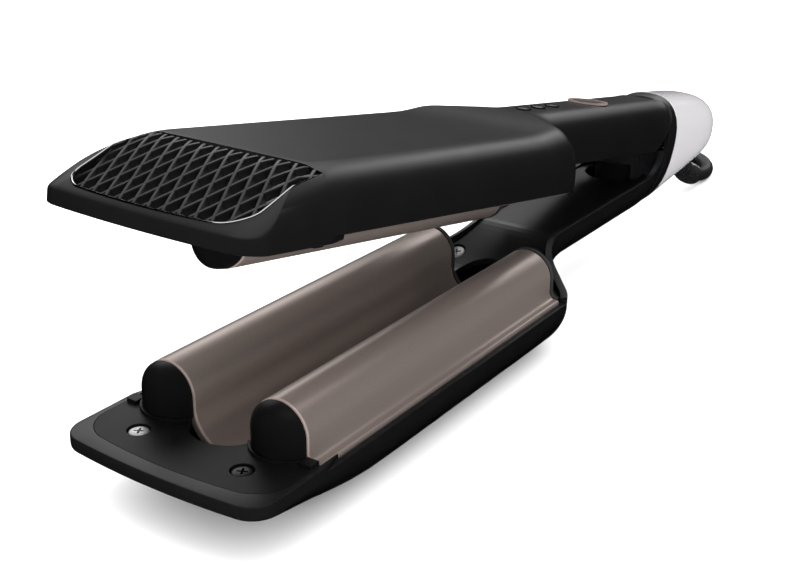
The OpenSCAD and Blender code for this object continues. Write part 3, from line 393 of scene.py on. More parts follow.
class Skin:
    """Collects points and faces in millimetres and turns them into one piece."""

    def __init__(self) -> None:
        """Starts empty."""
        self.points: list[Vector] = []
        self.faces: list[tuple[int, ...]] = []
        self.slots: list[int] = []

    def ring(self, points: Sequence[Vector]) -> list[int]:
        """Adds points and gives their numbers."""
        first = len(self.points)
        self.points.extend(points)
        return list(range(first, first + len(points)))

    def face(self, corners: Sequence[int], slot: int = 0) -> None:
        """Adds one face."""
        self.faces.append(tuple(corners))
        self.slots.append(slot)

    def loft(
        self, rings: Sequence[list[int]], slot: int = 0, closed: bool = True, capped: bool = False
    ) -> None:
        """Joins rings with quads.

        Args:
            rings: Rings of as many points each.
            slot: Material of the faces.
            closed: Whether each ring closes on itself.
            capped: Whether the first and the last ring get a face.
        """
        for a, b in zip(rings, rings[1:]):
            count = len(a)
            for i in range(count if closed else count - 1):
                j = (i + 1) % count
                self.face((a[i], a[j], b[j], b[i]), slot)
        for ring in (rings[0], rings[-1]) if capped else ():
            self.face(ring, slot)

    def tube(self, path: Sequence[Vector], radii: Sequence[float], sides: int = 10) -> None:
        """Adds a round tube along points, closed at its ends.

        Args:
            path: Its centre line.
            radii: Its radius at each point.
            sides: How many sides it has.
        """
        rings = []
        side = Vector((0.0, 0.0, 1.0))
        for i, at in enumerate(path):
            run = heading(path, i)
            side = (side - run * side.dot(run)).normalized() if i else run.orthogonal().normalized()
            other = run.cross(side)
            spokes = [math.cos(t) * side + math.sin(t) * other for t in full_turn(sides)]
            rings.append(self.ring([at + radii[i] * spoke for spoke in spokes]))
        self.loft(rings, capped=True)

    def lathe(self, outline: Sequence[tuple[float, float]], sides: int, at: Matrix, slot: int = 0) -> None:
        """Turns an outline of radius and height about z and closes both ends.

        Args:
            outline: Radius and height of each ring.
            sides: How many sides it has.
            at: Where its own frame lies.
            slot: Its material.
        """
        rings = []
        for r, z in outline:
            circle = [Vector((r * math.cos(t), r * math.sin(t), z)) for t in full_turn(sides)]
            rings.append(self.ring([at @ p for p in circle]))
        self.loft(rings, slot, capped=True)

    def build(
        self, name: str, place: Matrix, finishes: Sequence[Finish], sharp: float = 32.0
    ) -> bpy.types.Object:
        """Makes the object.

        Args:
            name: Name of the piece.
            place: Matrix from the points' frame to the row frame.
            finishes: Its materials by slot.
            sharp: Angle in degrees over which an edge stays sharp.

        Returns:
            The new object, at the origin.
        """
        mesh = bpy.data.meshes.new(name)
        mesh.from_pydata([place @ p for p in self.points], [], self.faces)
        for finish in finishes:
            mesh.materials.append(finish.made)
        mesh.polygons.foreach_set("material_index", self.slots)
        body = bmesh.new()
        body.from_mesh(mesh)
        bmesh.ops.remove_doubles(body, verts=body.verts, dist=1e-7)
        bmesh.ops.dissolve_degenerate(body, edges=body.edges, dist=1e-8)
        bmesh.ops.recalc_face_normals(body, faces=body.faces)
        body.to_mesh(mesh)
        body.free()
        smooth(mesh, sharp)
        return add_object(name, mesh)


def smooth(mesh: bpy.types.Mesh, sharp: float) -> None:
    """Shades a mesh smooth, apart from edges over an angle in degrees."""
    mesh.polygons.foreach_set("use_smooth", [True] * len(mesh.polygons))
    mesh.set_sharp_from_angle(angle=math.radians(sharp))


def carve(piece: bpy.types.Object, cutter: bpy.types.Object, sharp: float = 32.0) -> None:
    """Cuts one piece's shape out of another and drops the cutter.

    Args:
        piece: The piece that is cut.
        cutter: What is cut away.
        sharp: Angle in degrees over which an edge stays sharp.
    """
    modifier = piece.modifiers.new("cut", "BOOLEAN")
    modifier.object = cutter
    modifier.solver = "EXACT"
    modifier.operation = "DIFFERENCE"
    bpy.context.view_layer.update()
    cut = bpy.data.meshes.new_from_object(piece.evaluated_get(bpy.context.evaluated_depsgraph_get()))
    piece.modifiers.clear()
    old = piece.data
    piece.data = cut
    cut.name = piece.name
    bpy.data.meshes.remove(old)
    bpy.data.objects.remove(cutter)
    smooth(cut, sharp)


def hand_over(piece: bpy.types.Object, body: str, nodes: Sequence[str]) -> bpy.types.Object:
    """Lets a piece ride and hides the nodes that it stands for.

    Args:
        piece: The new piece.
        body: The body that it rides.
        nodes: The nodes that it replaces.

    Returns:
        The piece.
    """
    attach(piece, body)
    if nodes:
        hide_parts(*nodes)
    LOG.info("%s rides %s and stands for %s", piece.name, body, ", ".join(nodes) or "itself")
    return piece


# ---------------------------------------------------------------- sizes


class Arm(Enum):
    """One of the two arms."""

    LOWER = "lower"
    UPPER = "upper"

    @property
    def body(self) -> str:
        """The body that the arm's pieces ride."""
        return f"{self.value}_arm"


@dataclass(frozen=True)
class WaverSizes:
    """Sizes of the waver in millimetres and degrees, as in the part's own source."""

    plate_len: float = 121.0
    plate_gap: float = 0.8
    plate_t: float = 2.2
    valley_depth: float = 7.0
    valley_widening: float = 1.4
    ridge_z: float = 5.2
    flange_gap: float = 0.4
    flange_ledge: float = 1.5
    flange_drop: float = 0.6
    foot_fillet: float = 2.0
    gasket_t: float = 1.5
    head_hw: float = 31.5
    side_rim: float = 1.6
    nose_len: float = 26.4
    upper_nose_reach: float = 3.0
    nose_r: float = 150.0
    nose_corner: float = 12.0
    front_rim: float = 4.3
    lip_h: float = 3.5
    lower_depth: float = 18.5
    upper_depth: float = 17.5
    upper_rise: float = 5.3
    rim_gap: float = 6.4
    rim_step: float = 1.6
    wall: float = 2.0
    shoulder_back: float = 3.0
    shoulder_r: float = 10.0
    shoulder_angle: float = 48.0
    neck_r: float = 18.0
    handle_len: float = 110.4
    grip_hw: float = 15.0
    lower_grip_z: float = 10.4
    grip_gap: float = 0.8
    lower_grip_depth: float = 12.9
    open_angle: float = 10.3
    hinge_back: float = 36.6
    hinge_z: float = 16.0
    tail_z: float = 15.6
    tail_hw: float = 15.6
    tail_hh: float = 19.2
    seam_lean: float = 0.5
    collar_len: float = 6.8
    cap_len: float = 48.3
    cap_taper: float = 0.34
    flat_x: float = -2.0
    rise_len: float = 26.0

    @property
    def seam_x(self) -> float:
        """Where the handles end."""
        return self.plate_len + self.handle_len

    @property
    def step_x(self) -> float:
        """Where the step of the rim beside the plate ends."""
        return self.plate_len + self.gasket_t + 0.5

    @property
    def hinge_x(self) -> float:
        """Where the hinge pin lies."""
        return self.seam_x + self.hinge_back

    @property
    def ring_x(self) -> float:
        """Where the collar ends."""
        return self.seam_x + self.collar_len

    @property
    def tail_x(self) -> float:
        """Where the cap ends."""
        return self.ring_x + self.cap_len

    @property
    def middle_x(self) -> float:
        """The middle of the tool."""
        return (self.tail_x - self.nose_len) / 2

    @property
    def flange_hw(self) -> float:
        """Half width across a plate's flanges."""
        return self.head_hw - self.side_rim - self.flange_gap

    @property
    def ridge_r(self) -> float:
        """Radius of a ridge's crown."""
        return (self.flange_hw - self.flange_ledge - self.foot_fillet - self.valley_widening) / 3

    @property
    def valley_r(self) -> float:
        """Radius of a valley."""
        return self.ridge_r + self.valley_widening

    @property
    def ridge_y(self) -> float:
        """Distance from the middle to a lower ridge."""
        return self.ridge_r + self.valley_r

    def ridge_axis(self, arm: Arm) -> float:
        """Height of a ridge's axis in the arm frame."""
        closed = self.rim_gap + self.valley_depth - self.plate_gap - self.ridge_r
        return self.ridge_z if arm is Arm.LOWER else closed

    def valley_axis(self, arm: Arm) -> float:
        """Height of a valley's axis in the arm frame."""
        if arm is Arm.LOWER:
            return self.valley_r - self.valley_depth
        return self.rim_gap - self.ridge_z - self.ridge_r - self.plate_gap + self.valley_r

    def reach(self, arm: Arm) -> float:
        """Length of an arm's nose ahead of its plate."""
        return self.nose_len + (self.upper_nose_reach if arm is Arm.UPPER else 0.0)

    def depth(self, arm: Arm) -> float:
        """Depth of an arm's head at the nose."""
        return self.lower_depth if arm is Arm.LOWER else self.upper_depth

    def slope_angle(self, arm: Arm) -> float:
        """Angle of an arm's nose slope in radians."""
        return math.atan2(self.depth(arm) - self.lip_h, self.reach(arm) + self.flat_x)

    def slope_len(self, arm: Arm) -> float:
        """Length of an arm's nose slope."""
        return math.hypot(self.depth(arm) - self.lip_h, self.reach(arm) + self.flat_x)

    def arm_matrix(self, arm: Arm) -> Matrix:
        """Matrix from an arm's frame in millimetres to the row frame in metres.

        Args:
            arm: The arm.

        Returns:
            The matrix.
        """
        place = Matrix.Translation((-self.middle_x, 0.0, self.lower_depth))
        if arm is Arm.UPPER:
            hinge = Matrix.Translation((self.hinge_x, 0.0, self.hinge_z))
            turned = Matrix.Rotation(math.radians(self.open_angle), 4, "Y")
            back = Matrix.Translation((-self.hinge_x, 0.0, self.rim_gap - self.hinge_z))
            place = place @ hinge @ turned @ back @ Matrix.Scale(-1.0, 4, (0.0, 0.0, 1.0))
        return Matrix.Scale(MM, 4) @ place

    def slope_matrix(self, arm: Arm) -> Matrix:
        """Matrix from a nose's slope, x up it from the lip and z outwards, to the arm frame."""
        at = Matrix.Translation((-self.reach(arm), 0.0, -self.lip_h))
        return at @ Matrix.Rotation(self.slope_angle(arm), 4, "Y") @ Matrix.Rotation(math.pi, 4, "X")


SIZES = WaverSizes()


# ---------------------------------------------------------------- casings


class Stretch(Enum):
    """The stretches of a plan outline, from the middle of the nose to the end wall."""

    NOSE = 0
    CORNER = 1
    SIDE = 2
    SHOULDER = 3
    NECK = 4
    GRIP = 5
    END = 6


Station = tuple[Stretch, float]


@dataclass(frozen=True)
class Plan:
    """Half of a plan outline of a casing.

    Attributes:
        front: Where the nose starts.
        hw: Half width of the head.
        corner: Radius of the nose's corners.
        shoulder: Where the shoulders start.
        radius: Radius of the shoulders.
        fillet: Radius of the neck's fillet.
        grip: Half width of the handle.
        bow: Radius of the nose's front.
    """

    front: float
    hw: float
    corner: float
    shoulder: float
    radius: float
    fillet: float
    grip: float
    bow: float = SIZES.nose_r

    @property
    def lean(self) -> float:
        """Angle of the nose's arc where its corner starts."""
        return math.asin((self.hw - self.corner) / (1 - self.corner / self.bow) / self.bow)

    @property
    def corner_x(self) -> float:
        """Where the corner ends and the side starts."""
        return self.front + self.bow * (1 - math.cos(self.lean)) + self.corner * math.cos(self.lean)

    def at(self, station: Station) -> Vector:
        """The outline's point at a station.

        Args:
            station: The stretch and the share of it.

        Returns:
            The point, z at 0.
        """
        stretch, u = station
        slope = math.radians(SIZES.shoulder_angle)
        slope_x = self.shoulder + self.radius * math.sin(slope)
        slope_y = self.hw - self.radius * (1 - math.cos(slope))
        fillet_y = self.grip + self.fillet * (1 - math.cos(slope))
        fillet_x = slope_x + (slope_y - fillet_y) / math.tan(slope) + self.fillet * math.sin(slope)
        if stretch is Stretch.NOSE:
            y = u * self.bow * math.sin(self.lean)
            return Vector((self.front + self.bow - math.sqrt(self.bow**2 - y * y), y, 0))
        if stretch is Stretch.CORNER:
            t = blend(self.lean, math.pi / 2, u)
            x = self.corner_x - self.corner * math.cos(t)
            return Vector((x, self.hw - self.corner + self.corner * math.sin(t), 0))
        if stretch is Stretch.SIDE:
            return Vector((blend(self.corner_x, self.shoulder, u), self.hw, 0))
        if stretch is Stretch.SHOULDER:
            t = slope * u
            x = self.shoulder + self.radius * math.sin(t)
            return Vector((x, self.hw - self.radius * (1 - math.cos(t)), 0))
        if stretch is Stretch.NECK:
            t = slope * (1 - u)
            y = self.grip + self.fillet * (1 - math.cos(t))
            return Vector((fillet_x - self.fillet * math.sin(t), y, 0))
        if stretch is Stretch.GRIP:
            return Vector((blend(fillet_x, SIZES.seam_x, u), self.grip, 0))
        return Vector((SIZES.seam_x, self.grip * (1 - 0.14 * u), 0))


@dataclass(frozen=True)
class Casing:
    """Casing of one arm: head, neck and handle in one shell, open towards the other arm.

    Attributes:
        arm: The arm.
        back_hw: Half width of the flat of its back.
        back_grip_hw: Half width of that flat on the handle.
        side_power: Power of the rounding of its sides.
        grip_power: Power of the rounding of its handle.
        nose_power: Power of the rounding of its nose.
        edge: Rounding of its rim.
        crease: Rounding where the nose meets the back.
        flat_x: Where the flat of the back starts.
        back_corner: Radius of its front corners.
        rim_corner: Radius of the rim's front corners.
        rim_bow: Radius of the rim's front.
        full_x: Where the side has its full rounding.
        swell: How much further back its shoulders start than in the plan.
        sill: Height of the lower casing's end wall, low enough for the spring hood.
        tail_round: Length of the rounding at the end of the handle's edge.
        tail_lift: How far the handle's edge moves there.
    """

    arm: Arm
    back_hw: float
    back_grip_hw: float
    side_power: float
    grip_power: float = 2.2
    nose_power: float = 1.12
    edge: float = 0.5
    crease: float = 3.4
    flat_x: float = -2.0
    back_corner: float = 4.0
    rim_corner: float = 7.0
    rim_bow: float = 230.0
    full_x: float = -10.0
    swell: float = 0.0
    sill: float = 2.3
    tail_round: float = 10.0
    tail_lift: float = 7.5

    BACK_RADII = (6, 10)
    HEAD_DEPTH, HEAD_FALL = 16.1, 1.9
    NECK_X, NECK_LEN = 104, 30
    GRIP_LIP = 1.5
    TAIL_GAP = 0.6
    INNER_EDGE = 0.15
    LIP_ROUND, LIP_SHARE, CREASE_SHARE = 0.7, 0.2, 0.3
    STEP_HALF = 0.006
    SIDE_STOPS = (-9, -5, -2, -0.06, 0.06, 3, 8, 16, 28, 40, 52, 64, 76, 88, 98, 106, 112)
    GRIP_STOPS = (0.05, 0.12, 0.2, 0.3, 0.4, 0.5, 0.6, 0.7, 0.78, 0.84)
    END_STOPS = (0.7, 0.75, 1.0)
    SAMPLES = 60
    SIDE_STEPS = 24
    ROUND_STEPS = 4
    INNER_STEPS = 10

    @property
    def grip_edge(self) -> float:
        """Height of the handle's edge."""
        upper = SIZES.rim_gap - SIZES.lower_grip_z - SIZES.grip_gap
        return SIZES.lower_grip_z if self.arm is Arm.LOWER else upper

    def plans(self) -> tuple[Plan, Plan, Plan, Plan]:
        """Plans of the rim, the back, the rim's inside and the back's inside."""
        s, rim_w = SIZES, SIZES.side_rim
        front, shoulder = -s.reach(self.arm), s.plate_len - s.shoulder_back
        corner, grip = self.back_corner, self.back_grip_hw
        radius, fillet = self.BACK_RADII
        full = shoulder + self.swell
        rim = Plan(front, s.head_hw, self.rim_corner, full, s.shoulder_r, s.neck_r, s.grip_hw, self.rim_bow)
        back = Plan(self.flat_x, self.back_hw, corner, full, radius, fillet, grip)
        rim_in = Plan(
            front + s.front_rim, s.head_hw - rim_w, s.nose_corner - rim_w, shoulder + 0.6,
            s.shoulder_r - rim_w, s.neck_r + rim_w, s.grip_hw - rim_w,
        )
        back_in = Plan(self.flat_x + 1.2, self.back_hw - 1, corner, shoulder - 1, radius, fillet, grip - 1)
        return rim, back, rim_in, back_in

    def stations(self) -> list[Station]:
        """The stations of the outline, denser where it turns or steps."""
        rim = self.plans()[0]
        shoulder = rim.shoulder
        step_u = math.degrees(math.asin((SIZES.step_x - shoulder) / rim.radius)) / SIZES.shoulder_angle
        made = [(Stretch.NOSE, k / 10) for k in range(10)]
        made += [(Stretch.CORNER, k / 18) for k in range(19)]
        side = shoulder - rim.corner_x
        made += [(Stretch.SIDE, (x - rim.corner_x) / side) for x in self.SIDE_STOPS]
        turns = sorted([k / 12 for k in range(13)] + [step_u - self.STEP_HALF, step_u + self.STEP_HALF])
        made += [(Stretch.SHOULDER, u) for u in turns]
        made += [(Stretch.NECK, k / 14) for k in range(15)]
        made += [(Stretch.GRIP, u) for u in self.GRIP_STOPS]
        reach = self.tail_round / (SIZES.seam_x - self.rim_x((Stretch.GRIP, 0)))
        made += [(Stretch.GRIP, 1 - reach * (1 - math.sin(math.pi / 2 * k / 12))) for k in range(13)]
        return made + [(Stretch.END, u) for u in self.END_STOPS]

    def rim_x(self, station: Station) -> float:
        """Where a station lies along the rim."""
        return self.plans()[0].at(station).x

    def rise(self, x: float) -> float:
        """Share of the way from the head's edge to the handle's."""
        return ease((x - SIZES.plate_len - 1) / SIZES.rise_len)

    def edge_z(self, station: Station) -> float:
        """Height of the casing's edge at a station."""
        stretch, u = station
        x = self.rim_x(station)
        z = self.grip_edge * self.rise(x)
        if stretch is Stretch.GRIP or (stretch is Stretch.END and (u < 0.72 or self.arm is Arm.UPPER)):
            run = min(1.0, max(0.0, 1 - (SIZES.seam_x - x) / self.tail_round))
            lift = self.tail_lift * (1 - math.sqrt(1 - run * run))
            z += lift if self.arm is Arm.LOWER else -lift
        return z

    def rim_z(self, station: Station) -> float:
        """Height of the rim at a station, stepped down beside the plate."""
        x = self.rim_x(station)
        stepped = 0 < x < SIZES.step_x
        return self.edge_z(station) - (SIZES.rim_step if stepped else 0.0)

    def lip_z(self, station: Station) -> float:
        """Height at which the upright lip ends."""
        return self.edge_z(station) - blend(SIZES.lip_h, self.GRIP_LIP, self.rise(self.rim_x(station)))

    def back_z(self, x: float) -> float:
        """Height of the casing's back."""
        s = SIZES
        if self.arm is Arm.LOWER:
            u = ease((x - s.plate_len + s.shoulder_back) / (s.rise_len + 4))
            return blend(-s.lower_depth, s.lower_grip_z - s.lower_grip_depth, u)
        head = -self.HEAD_DEPTH - self.HEAD_FALL * max(x, self.flat_x) / s.plate_len
        grip = -s.upper_depth - s.upper_rise * x / s.seam_x
        return blend(head, grip, ease((x - self.NECK_X) / self.NECK_LEN))

    def power(self, station: Station) -> float:
        """Power of the section's rounding at a station."""
        if station[0] is Stretch.NOSE:
            return self.nose_power
        x = self.rim_x(station)
        if x < self.full_x:
            start = self.rim_x((Stretch.CORNER, 0))
            return blend(self.nose_power, self.side_power, ease((x - start) / (self.full_x - start)))
        return blend(self.side_power, self.grip_power, self.rise(x))

    def shift(self, station: Station, z: float, end_wall: float) -> float:
        """How far the leaning seam moves a point along the handle.

        Args:
            station: The station.
            z: Height of the point.
            end_wall: Thickness of the wall at the seam.

        Returns:
            The shift along x.
        """
        stretch, u = station
        share = u if stretch is Stretch.GRIP else 1.0 if stretch is Stretch.END else 0.0
        low = z if self.arm is Arm.LOWER else SIZES.rim_gap - z
        gap = 0.0 if self.arm is Arm.LOWER else self.TAIL_GAP
        return share * (SIZES.seam_lean * (low - SIZES.tail_z) - gap - end_wall)

    def level(self, station: Station, rim: Vector, back: Vector, t: float, wall: float) -> Vector:
        """A point of the section, from the lip at 0 to the back at a quarter turn.

        Args:
            station: The station.
            rim: Point of the rim's plan.
            back: Point of the back's plan.
            t: Angle on the section.
            wall: Thickness of the back and of the wall at the seam.

        Returns:
            The point in the arm frame.
        """
        power = self.power(station)
        out = max(0.0, math.cos(t)) ** (2 / power)
        down = max(0.0, math.sin(t)) ** (2 / power)
        z = blend(self.lip_z(station), self.back_z(back.x) + wall, down)
        p = back.lerp(rim, out)
        return Vector((p.x + self.shift(station, z, wall), p.y, z))

    def outer(self, station: Station) -> list[Vector]:
        """Points of the outer section, from the rim's inner edge to the flat of the back.

        Args:
            station: The station.

        Returns:
            The points in order.
        """
        rim_plan, back_plan, rim_in, _ = self.plans()
        rim, back, inner = rim_plan.at(station), back_plan.at(station), rim_in.at(station)
        z = self.rim_z(station)
        corner = Vector((rim.x + self.shift(station, z, 0), rim.y, z))
        inside = Vector((inner.x + self.shift(station, z, SIZES.wall), inner.y, z))
        count = self.SAMPLES
        samples = [self.level(station, rim, back, math.pi / 2 * k / count, 0) for k in range(count + 1)]
        lip = samples[0]
        runs = [0.0]
        for a, b in zip(samples, samples[1:]):
            runs.append(runs[-1] + (b - a).length)

        def along(run: float) -> Vector:
            """The section's point a run from the lip."""
            k = next((k for k in range(1, count + 1) if runs[k] >= run), count)
            share = (run - runs[k - 1]) / max(runs[k] - runs[k - 1], 1e-9)
            return samples[k - 1].lerp(samples[k], share)

        points = [inside, toward(inside, corner, self.INNER_EDGE)]
        edge, few, many = self.edge, self.ROUND_STEPS, self.SIDE_STEPS
        points += bezier(toward(corner, inside, edge), corner, toward(corner, lip, edge), few)
        lip_round = min(self.LIP_ROUND, self.LIP_SHARE * runs[-1])
        points += bezier(toward(lip, corner, lip_round), lip, along(lip_round), few)
        round_off = min(self.crease, self.CREASE_SHARE * runs[-1])
        stop = runs[-1] - round_off
        points += [along(blend(lip_round, stop, k / many)) for k in range(1, many + 1)]
        flat = self.inward(station, back_plan, round_off)
        stretch, u = station
        share = 1.0 if stretch is Stretch.NOSE else 1 - ease(u) if stretch is Stretch.CORNER else 0.0
        soft = bezier(points[-1], samples[-1], flat, 2 * few)[1:]
        plain = [along(blend(stop, runs[-1], k / few)) for k in range(1, few + 1)]
        plain += [samples[-1].lerp(flat, k / few) for k in range(1, few + 1)]
        return points + [a.lerp(b, share) for a, b in zip(plain, soft)]

    def inward(self, station: Station, plan: Plan, length: float) -> Vector:
        """A point on the flat of the back, a length inside its outline.

        Args:
            station: The station.
            plan: Plan of the back.
            length: How far inside.

        Returns:
            The point in the arm frame.
        """
        stretch, u = station
        turn = 0.0
        if stretch is Stretch.CORNER:
            turn = u * math.pi / 2
        elif stretch is not Stretch.NOSE:
            turn = math.pi / 2
        at = plan.at(station)
        x = at.x + length * math.cos(turn)
        y = max(0.0, at.y - min(length, 0.6 * at.y) * math.sin(turn))
        z = self.back_z(x)
        return Vector((x + self.shift(station, z, 0), y, z))

    def inner(self, station: Station) -> list[Vector]:
        """Points of the inner section, from under the rim to the inside of the back."""
        _, _, rim_in, back_in = self.plans()
        rim, back = rim_in.at(station), back_in.at(station)
        angles = [math.pi / 2 * k / self.INNER_STEPS for k in range(self.INNER_STEPS + 1)]
        return [self.level(station, rim, back, t, SIZES.wall) for t in angles]

    def shell(self) -> Skin:
        """The closed shell: outer skin, rim and inner skin.

        Returns:
            The shell in the arm frame.
        """
        skin = Skin()
        stations = self.stations()
        outer = [self.outer(station) for station in stations]
        inner = [self.inner(station) for station in stations]
        numbers = []
        for sections in (outer, inner):
            for k in range(len(sections[0])):
                half = [section[k] for section in sections]
                half[0].y = 0.0
                mirrored = [Vector((p.x, -p.y, p.z)) for p in half[:0:-1]]
                numbers.append(skin.ring(half + mirrored))
        count = len(outer[0])
        outside, inside = numbers[:count], numbers[:1] + numbers[count:]
        last = len(stations) - 1
        for rings in (outside, inside):
            skin.loft(rings)
        for ring in (outside[-1], inside[-1]):
            for i in range(last):
                far = () if i == 0 else (ring[-i],)
                skin.face((ring[i], ring[i + 1], ring[-i - 1], *far))
        if self.arm is Arm.LOWER:
            self.open_end(skin, (outside, inside), last)
        return skin

    def open_end(self, skin: Skin, walls: Sequence[Sequence[list[int]]], last: int) -> None:
        """Lowers the end wall to its sill, between its two cheeks.

        Args:
            skin: The shell.
            walls: The levels of its outside and its inside, each from the rim down.
            last: Number of the last point of the outline's first half.
        """
        sides = (last, last + 1)
        opened = []
        for rings in walls:
            drop = next(k for k, ring in enumerate(rings) if skin.points[ring[last]].z <= self.sill)
            opened.append(rings[: drop + 1])
        near, far = ({ring[side] for rings in opened for ring in rings} for side in sides)
        kept = [
            k for k, face in enumerate(map(set, skin.faces))
            if not (face <= near | far and face & near and face & far)
        ]
        skin.faces[:] = [skin.faces[k] for k in kept]
        skin.slots[:] = [skin.slots[k] for k in kept]
        outer, inner = opened
        skin.face([outer[-1][side] for side in sides] + [inner[-1][side] for side in reversed(sides)])
        for side in sides:
            skin.face([ring[side] for ring in outer] + [ring[side] for ring in inner[:0:-1]])


@dataclass(frozen=True)
class NoseVent:
    """Lattice vent in the slope of one nose, with its trim and its backing.

    Attributes:
        arm: The arm.
        low: Where its window starts on the slope.
        hw: Half width of its window.
        corner: Radius of the window's lower corners.
        top_margin: Distance from the window's top to the end of the slope.
        recess: How deep the ribs lie at the bottom.
        rib_w: Width of a rib.
        rib_deep: Depth of a rib.
        diamond_w: Width of a cell.
        diamond_h: Height of a cell.
        trim_r: Radius of the trim.
    """

    arm: Arm
    low: float = 2.6
    hw: float = 26.5
    corner: float = 7.0
    top_margin: float = 0.6
    recess: float = 1.15
    rib_w: float = 0.8
    rib_deep: float = 2.4
    diamond_w: float = 4.3
    diamond_h: float = 10.5
    trim_r: float = 0.32

    CUT_REACH = (-7.0, 9.0)
    RIB_STEP = 0.5
    RIB_REACH = 70
    MARGIN = 0.5
    FLARE, BEVEL, BEVEL_DROP = 0.18, 0.12, 0.14
    FAMILY_DROP = 0.025
    EVEN_RISE = 6
    SHEET_T = 0.6
    SHEET_LOW, SHEET_HIGH = 0.3, 2.0
    SHEET_DEPTHS = (2.3, 1.9)
    SHEET_TAPER = 0.22
    SHEET_INSET = 0.97
    TRIM_SINK = 0.12
    TRIM_END, TRIM_GROWTH = 0.35, 0.08
    RAY_START = 20.0
    NO_HIT = -4.0
    ROWS, COLUMNS = 14, 32

    @property
    def high(self) -> float:
        """Where the window ends on the slope."""
        return SIZES.slope_len(self.arm) - self.top_margin

    def bow(self, y: float) -> float:
        """How far the bowed nose moves the pattern up the slope."""
        bowed = SIZES.nose_r - math.sqrt(SIZES.nose_r**2 - y * y)
        return bowed * math.cos(SIZES.slope_angle(self.arm))

    def outline(self) -> list[tuple[float, float]]:
        """The window's outline on the slope: down one side, round the bottom and up the other."""
        corner = [
            (self.low + self.corner * (1 - math.sin(t)), self.hw - self.corner * (1 - math.cos(t)))
            for t in (math.pi / 2 * k / 10 for k in range(11))
        ]
        side = [(blend(self.high, self.low + self.corner, k / 12), self.hw) for k in range(12)]
        bottom = [(self.low, blend(self.hw - self.corner, 0, k / 8)) for k in range(1, 9)]
        half = side + corner + bottom
        return half + [(s, -y) for s, y in reversed(half[:-1])]

    def cutter(self, name: str, place: Matrix) -> bpy.types.Object:
        """The block that cuts the window.

        Args:
            name: Its name.
            place: Matrix from the slope to the row frame.

        Returns:
            The block.
        """
        skin = Skin()
        outline = [(s + self.bow(y), y) for s, y in self.outline()]
        rings = [skin.ring([Vector((s, y, z)) for s, y in outline]) for z in self.CUT_REACH]
        skin.loft(rings, capped=True)
        return skin.build(name, place, [Finish.CASE])

    def heights(self, casing: bpy.types.Object, place: Matrix) -> Height:
        """How high the casing's uncut skin lies over the plane of the slope.

        Args:
            casing: The uncut casing.
            place: Matrix from the slope to the row frame.

        Returns:
            The height by place on the slope.
        """
        mesh = casing.data
        tree = BVHTree.FromPolygons([v.co for v in mesh.vertices], [p.vertices for p in mesh.polygons])
        down = (place.to_3x3() @ Vector((0, 0, -1))).normalized()

        def height(s: float, y: float) -> float:
            """Height of the skin at a place on the slope."""
            hit = tree.ray_cast(place @ Vector((s, y, self.RAY_START)), down)
            return self.RAY_START - hit[3] / MM if hit[0] is not None else self.NO_HIT

        return height

    def depth_at(self, s: float) -> float:
        """How deep the ribs lie under the skin at a place on the slope."""
        start = self.low + self.EVEN_RISE
        return self.recess * (1 - ease((s - start) / (self.high - start)))

    def lattice(self, height: Height) -> Skin:
        """The two crossing families of ribs.

        Args:
            height: Height of the skin.

        Returns:
            The ribs in the slope's frame.
        """
        skin = Skin()
        angle = math.atan2(self.diamond_w, self.diamond_h)
        middle = (self.low + self.high) / 2
        half_w = self.rib_w / 2
        shape = [(-half_w - self.FLARE, -self.rib_deep), (-half_w, -self.BEVEL_DROP)]
        shape.append((-half_w + self.BEVEL, 0.0))
        shape += [(-y, z) for y, z in reversed(shape)]
        count = int((self.hw + self.high) / self.diamond_w) + 1
        stops = [d * self.RIB_STEP for d in range(-self.RIB_REACH, self.RIB_REACH + 1)]
        for side, lower in ((-1, 0.0), (1, self.FAMILY_DROP)):
            along = Vector((math.cos(angle), side * math.sin(angle), 0))
            across = Vector((-along.y, along.x, 0))
            for k in range(-count, count + 1):
                base = Vector((middle, k * self.diamond_w, 0))
                inside = [d for d in stops if self.holds(base + along * d)]
                if len(inside) < 3:
                    continue
                rings = []
                for d in inside:
                    at = base + along * d
                    s = at.x + self.bow(at.y)
                    top = Vector((s, at.y, height(s, at.y) - self.depth_at(at.x) - lower))
                    rings.append(skin.ring([top + across * w + Vector((0, 0, z)) for w, z in shape]))
                skin.loft(rings, capped=True)
        return skin

    def holds(self, at: Vector) -> bool:
        """Whether a place on the slope lies in the window, grown by a margin.

        Args:
            at: The place.

        Returns:
            Whether it does.
        """
        over = self.MARGIN
        if not (self.low - over < at.x < self.high + over * 0.4 and abs(at.y) < self.hw + over):
            return False
        s, y = self.low + self.corner - at.x, abs(at.y) - self.hw + self.corner
        return s < 0 or y < 0 or math.hypot(s, y) < self.corner + over

    def backing(self, height: Height) -> Skin:
        """The curved sheet behind the ribs.

        Args:
            height: Height of the skin.

        Returns:
            The sheet in the slope's frame.
        """
        skin = Skin()
        edges = []
        for over in (0.0, self.SHEET_T):
            rows = []
            for i in range(self.ROWS + 1):
                v = i / self.ROWS
                s = blend(self.low + self.SHEET_LOW, self.high + self.SHEET_HIGH, v)
                deep = self.depth_at(s) + blend(*self.SHEET_DEPTHS, v) + over
                half = self.hw * (1 - self.SHEET_TAPER * (1 - v) ** 3)
                row = []
                for j in range(self.COLUMNS + 1):
                    y = blend(-half, half, j / self.COLUMNS)
                    at = s + self.bow(y)
                    row.append(Vector((at, y, height(at, y * self.SHEET_INSET) - deep)))
                rows.append(skin.ring(row))
            skin.loft(rows, closed=False)
            far_side, near_side = [row[-1] for row in rows[1:-1]], [row[0] for row in rows[-2:0:-1]]
            edges.append(rows[0] + far_side + rows[-1][::-1] + near_side)
        skin.loft(edges)
        return skin

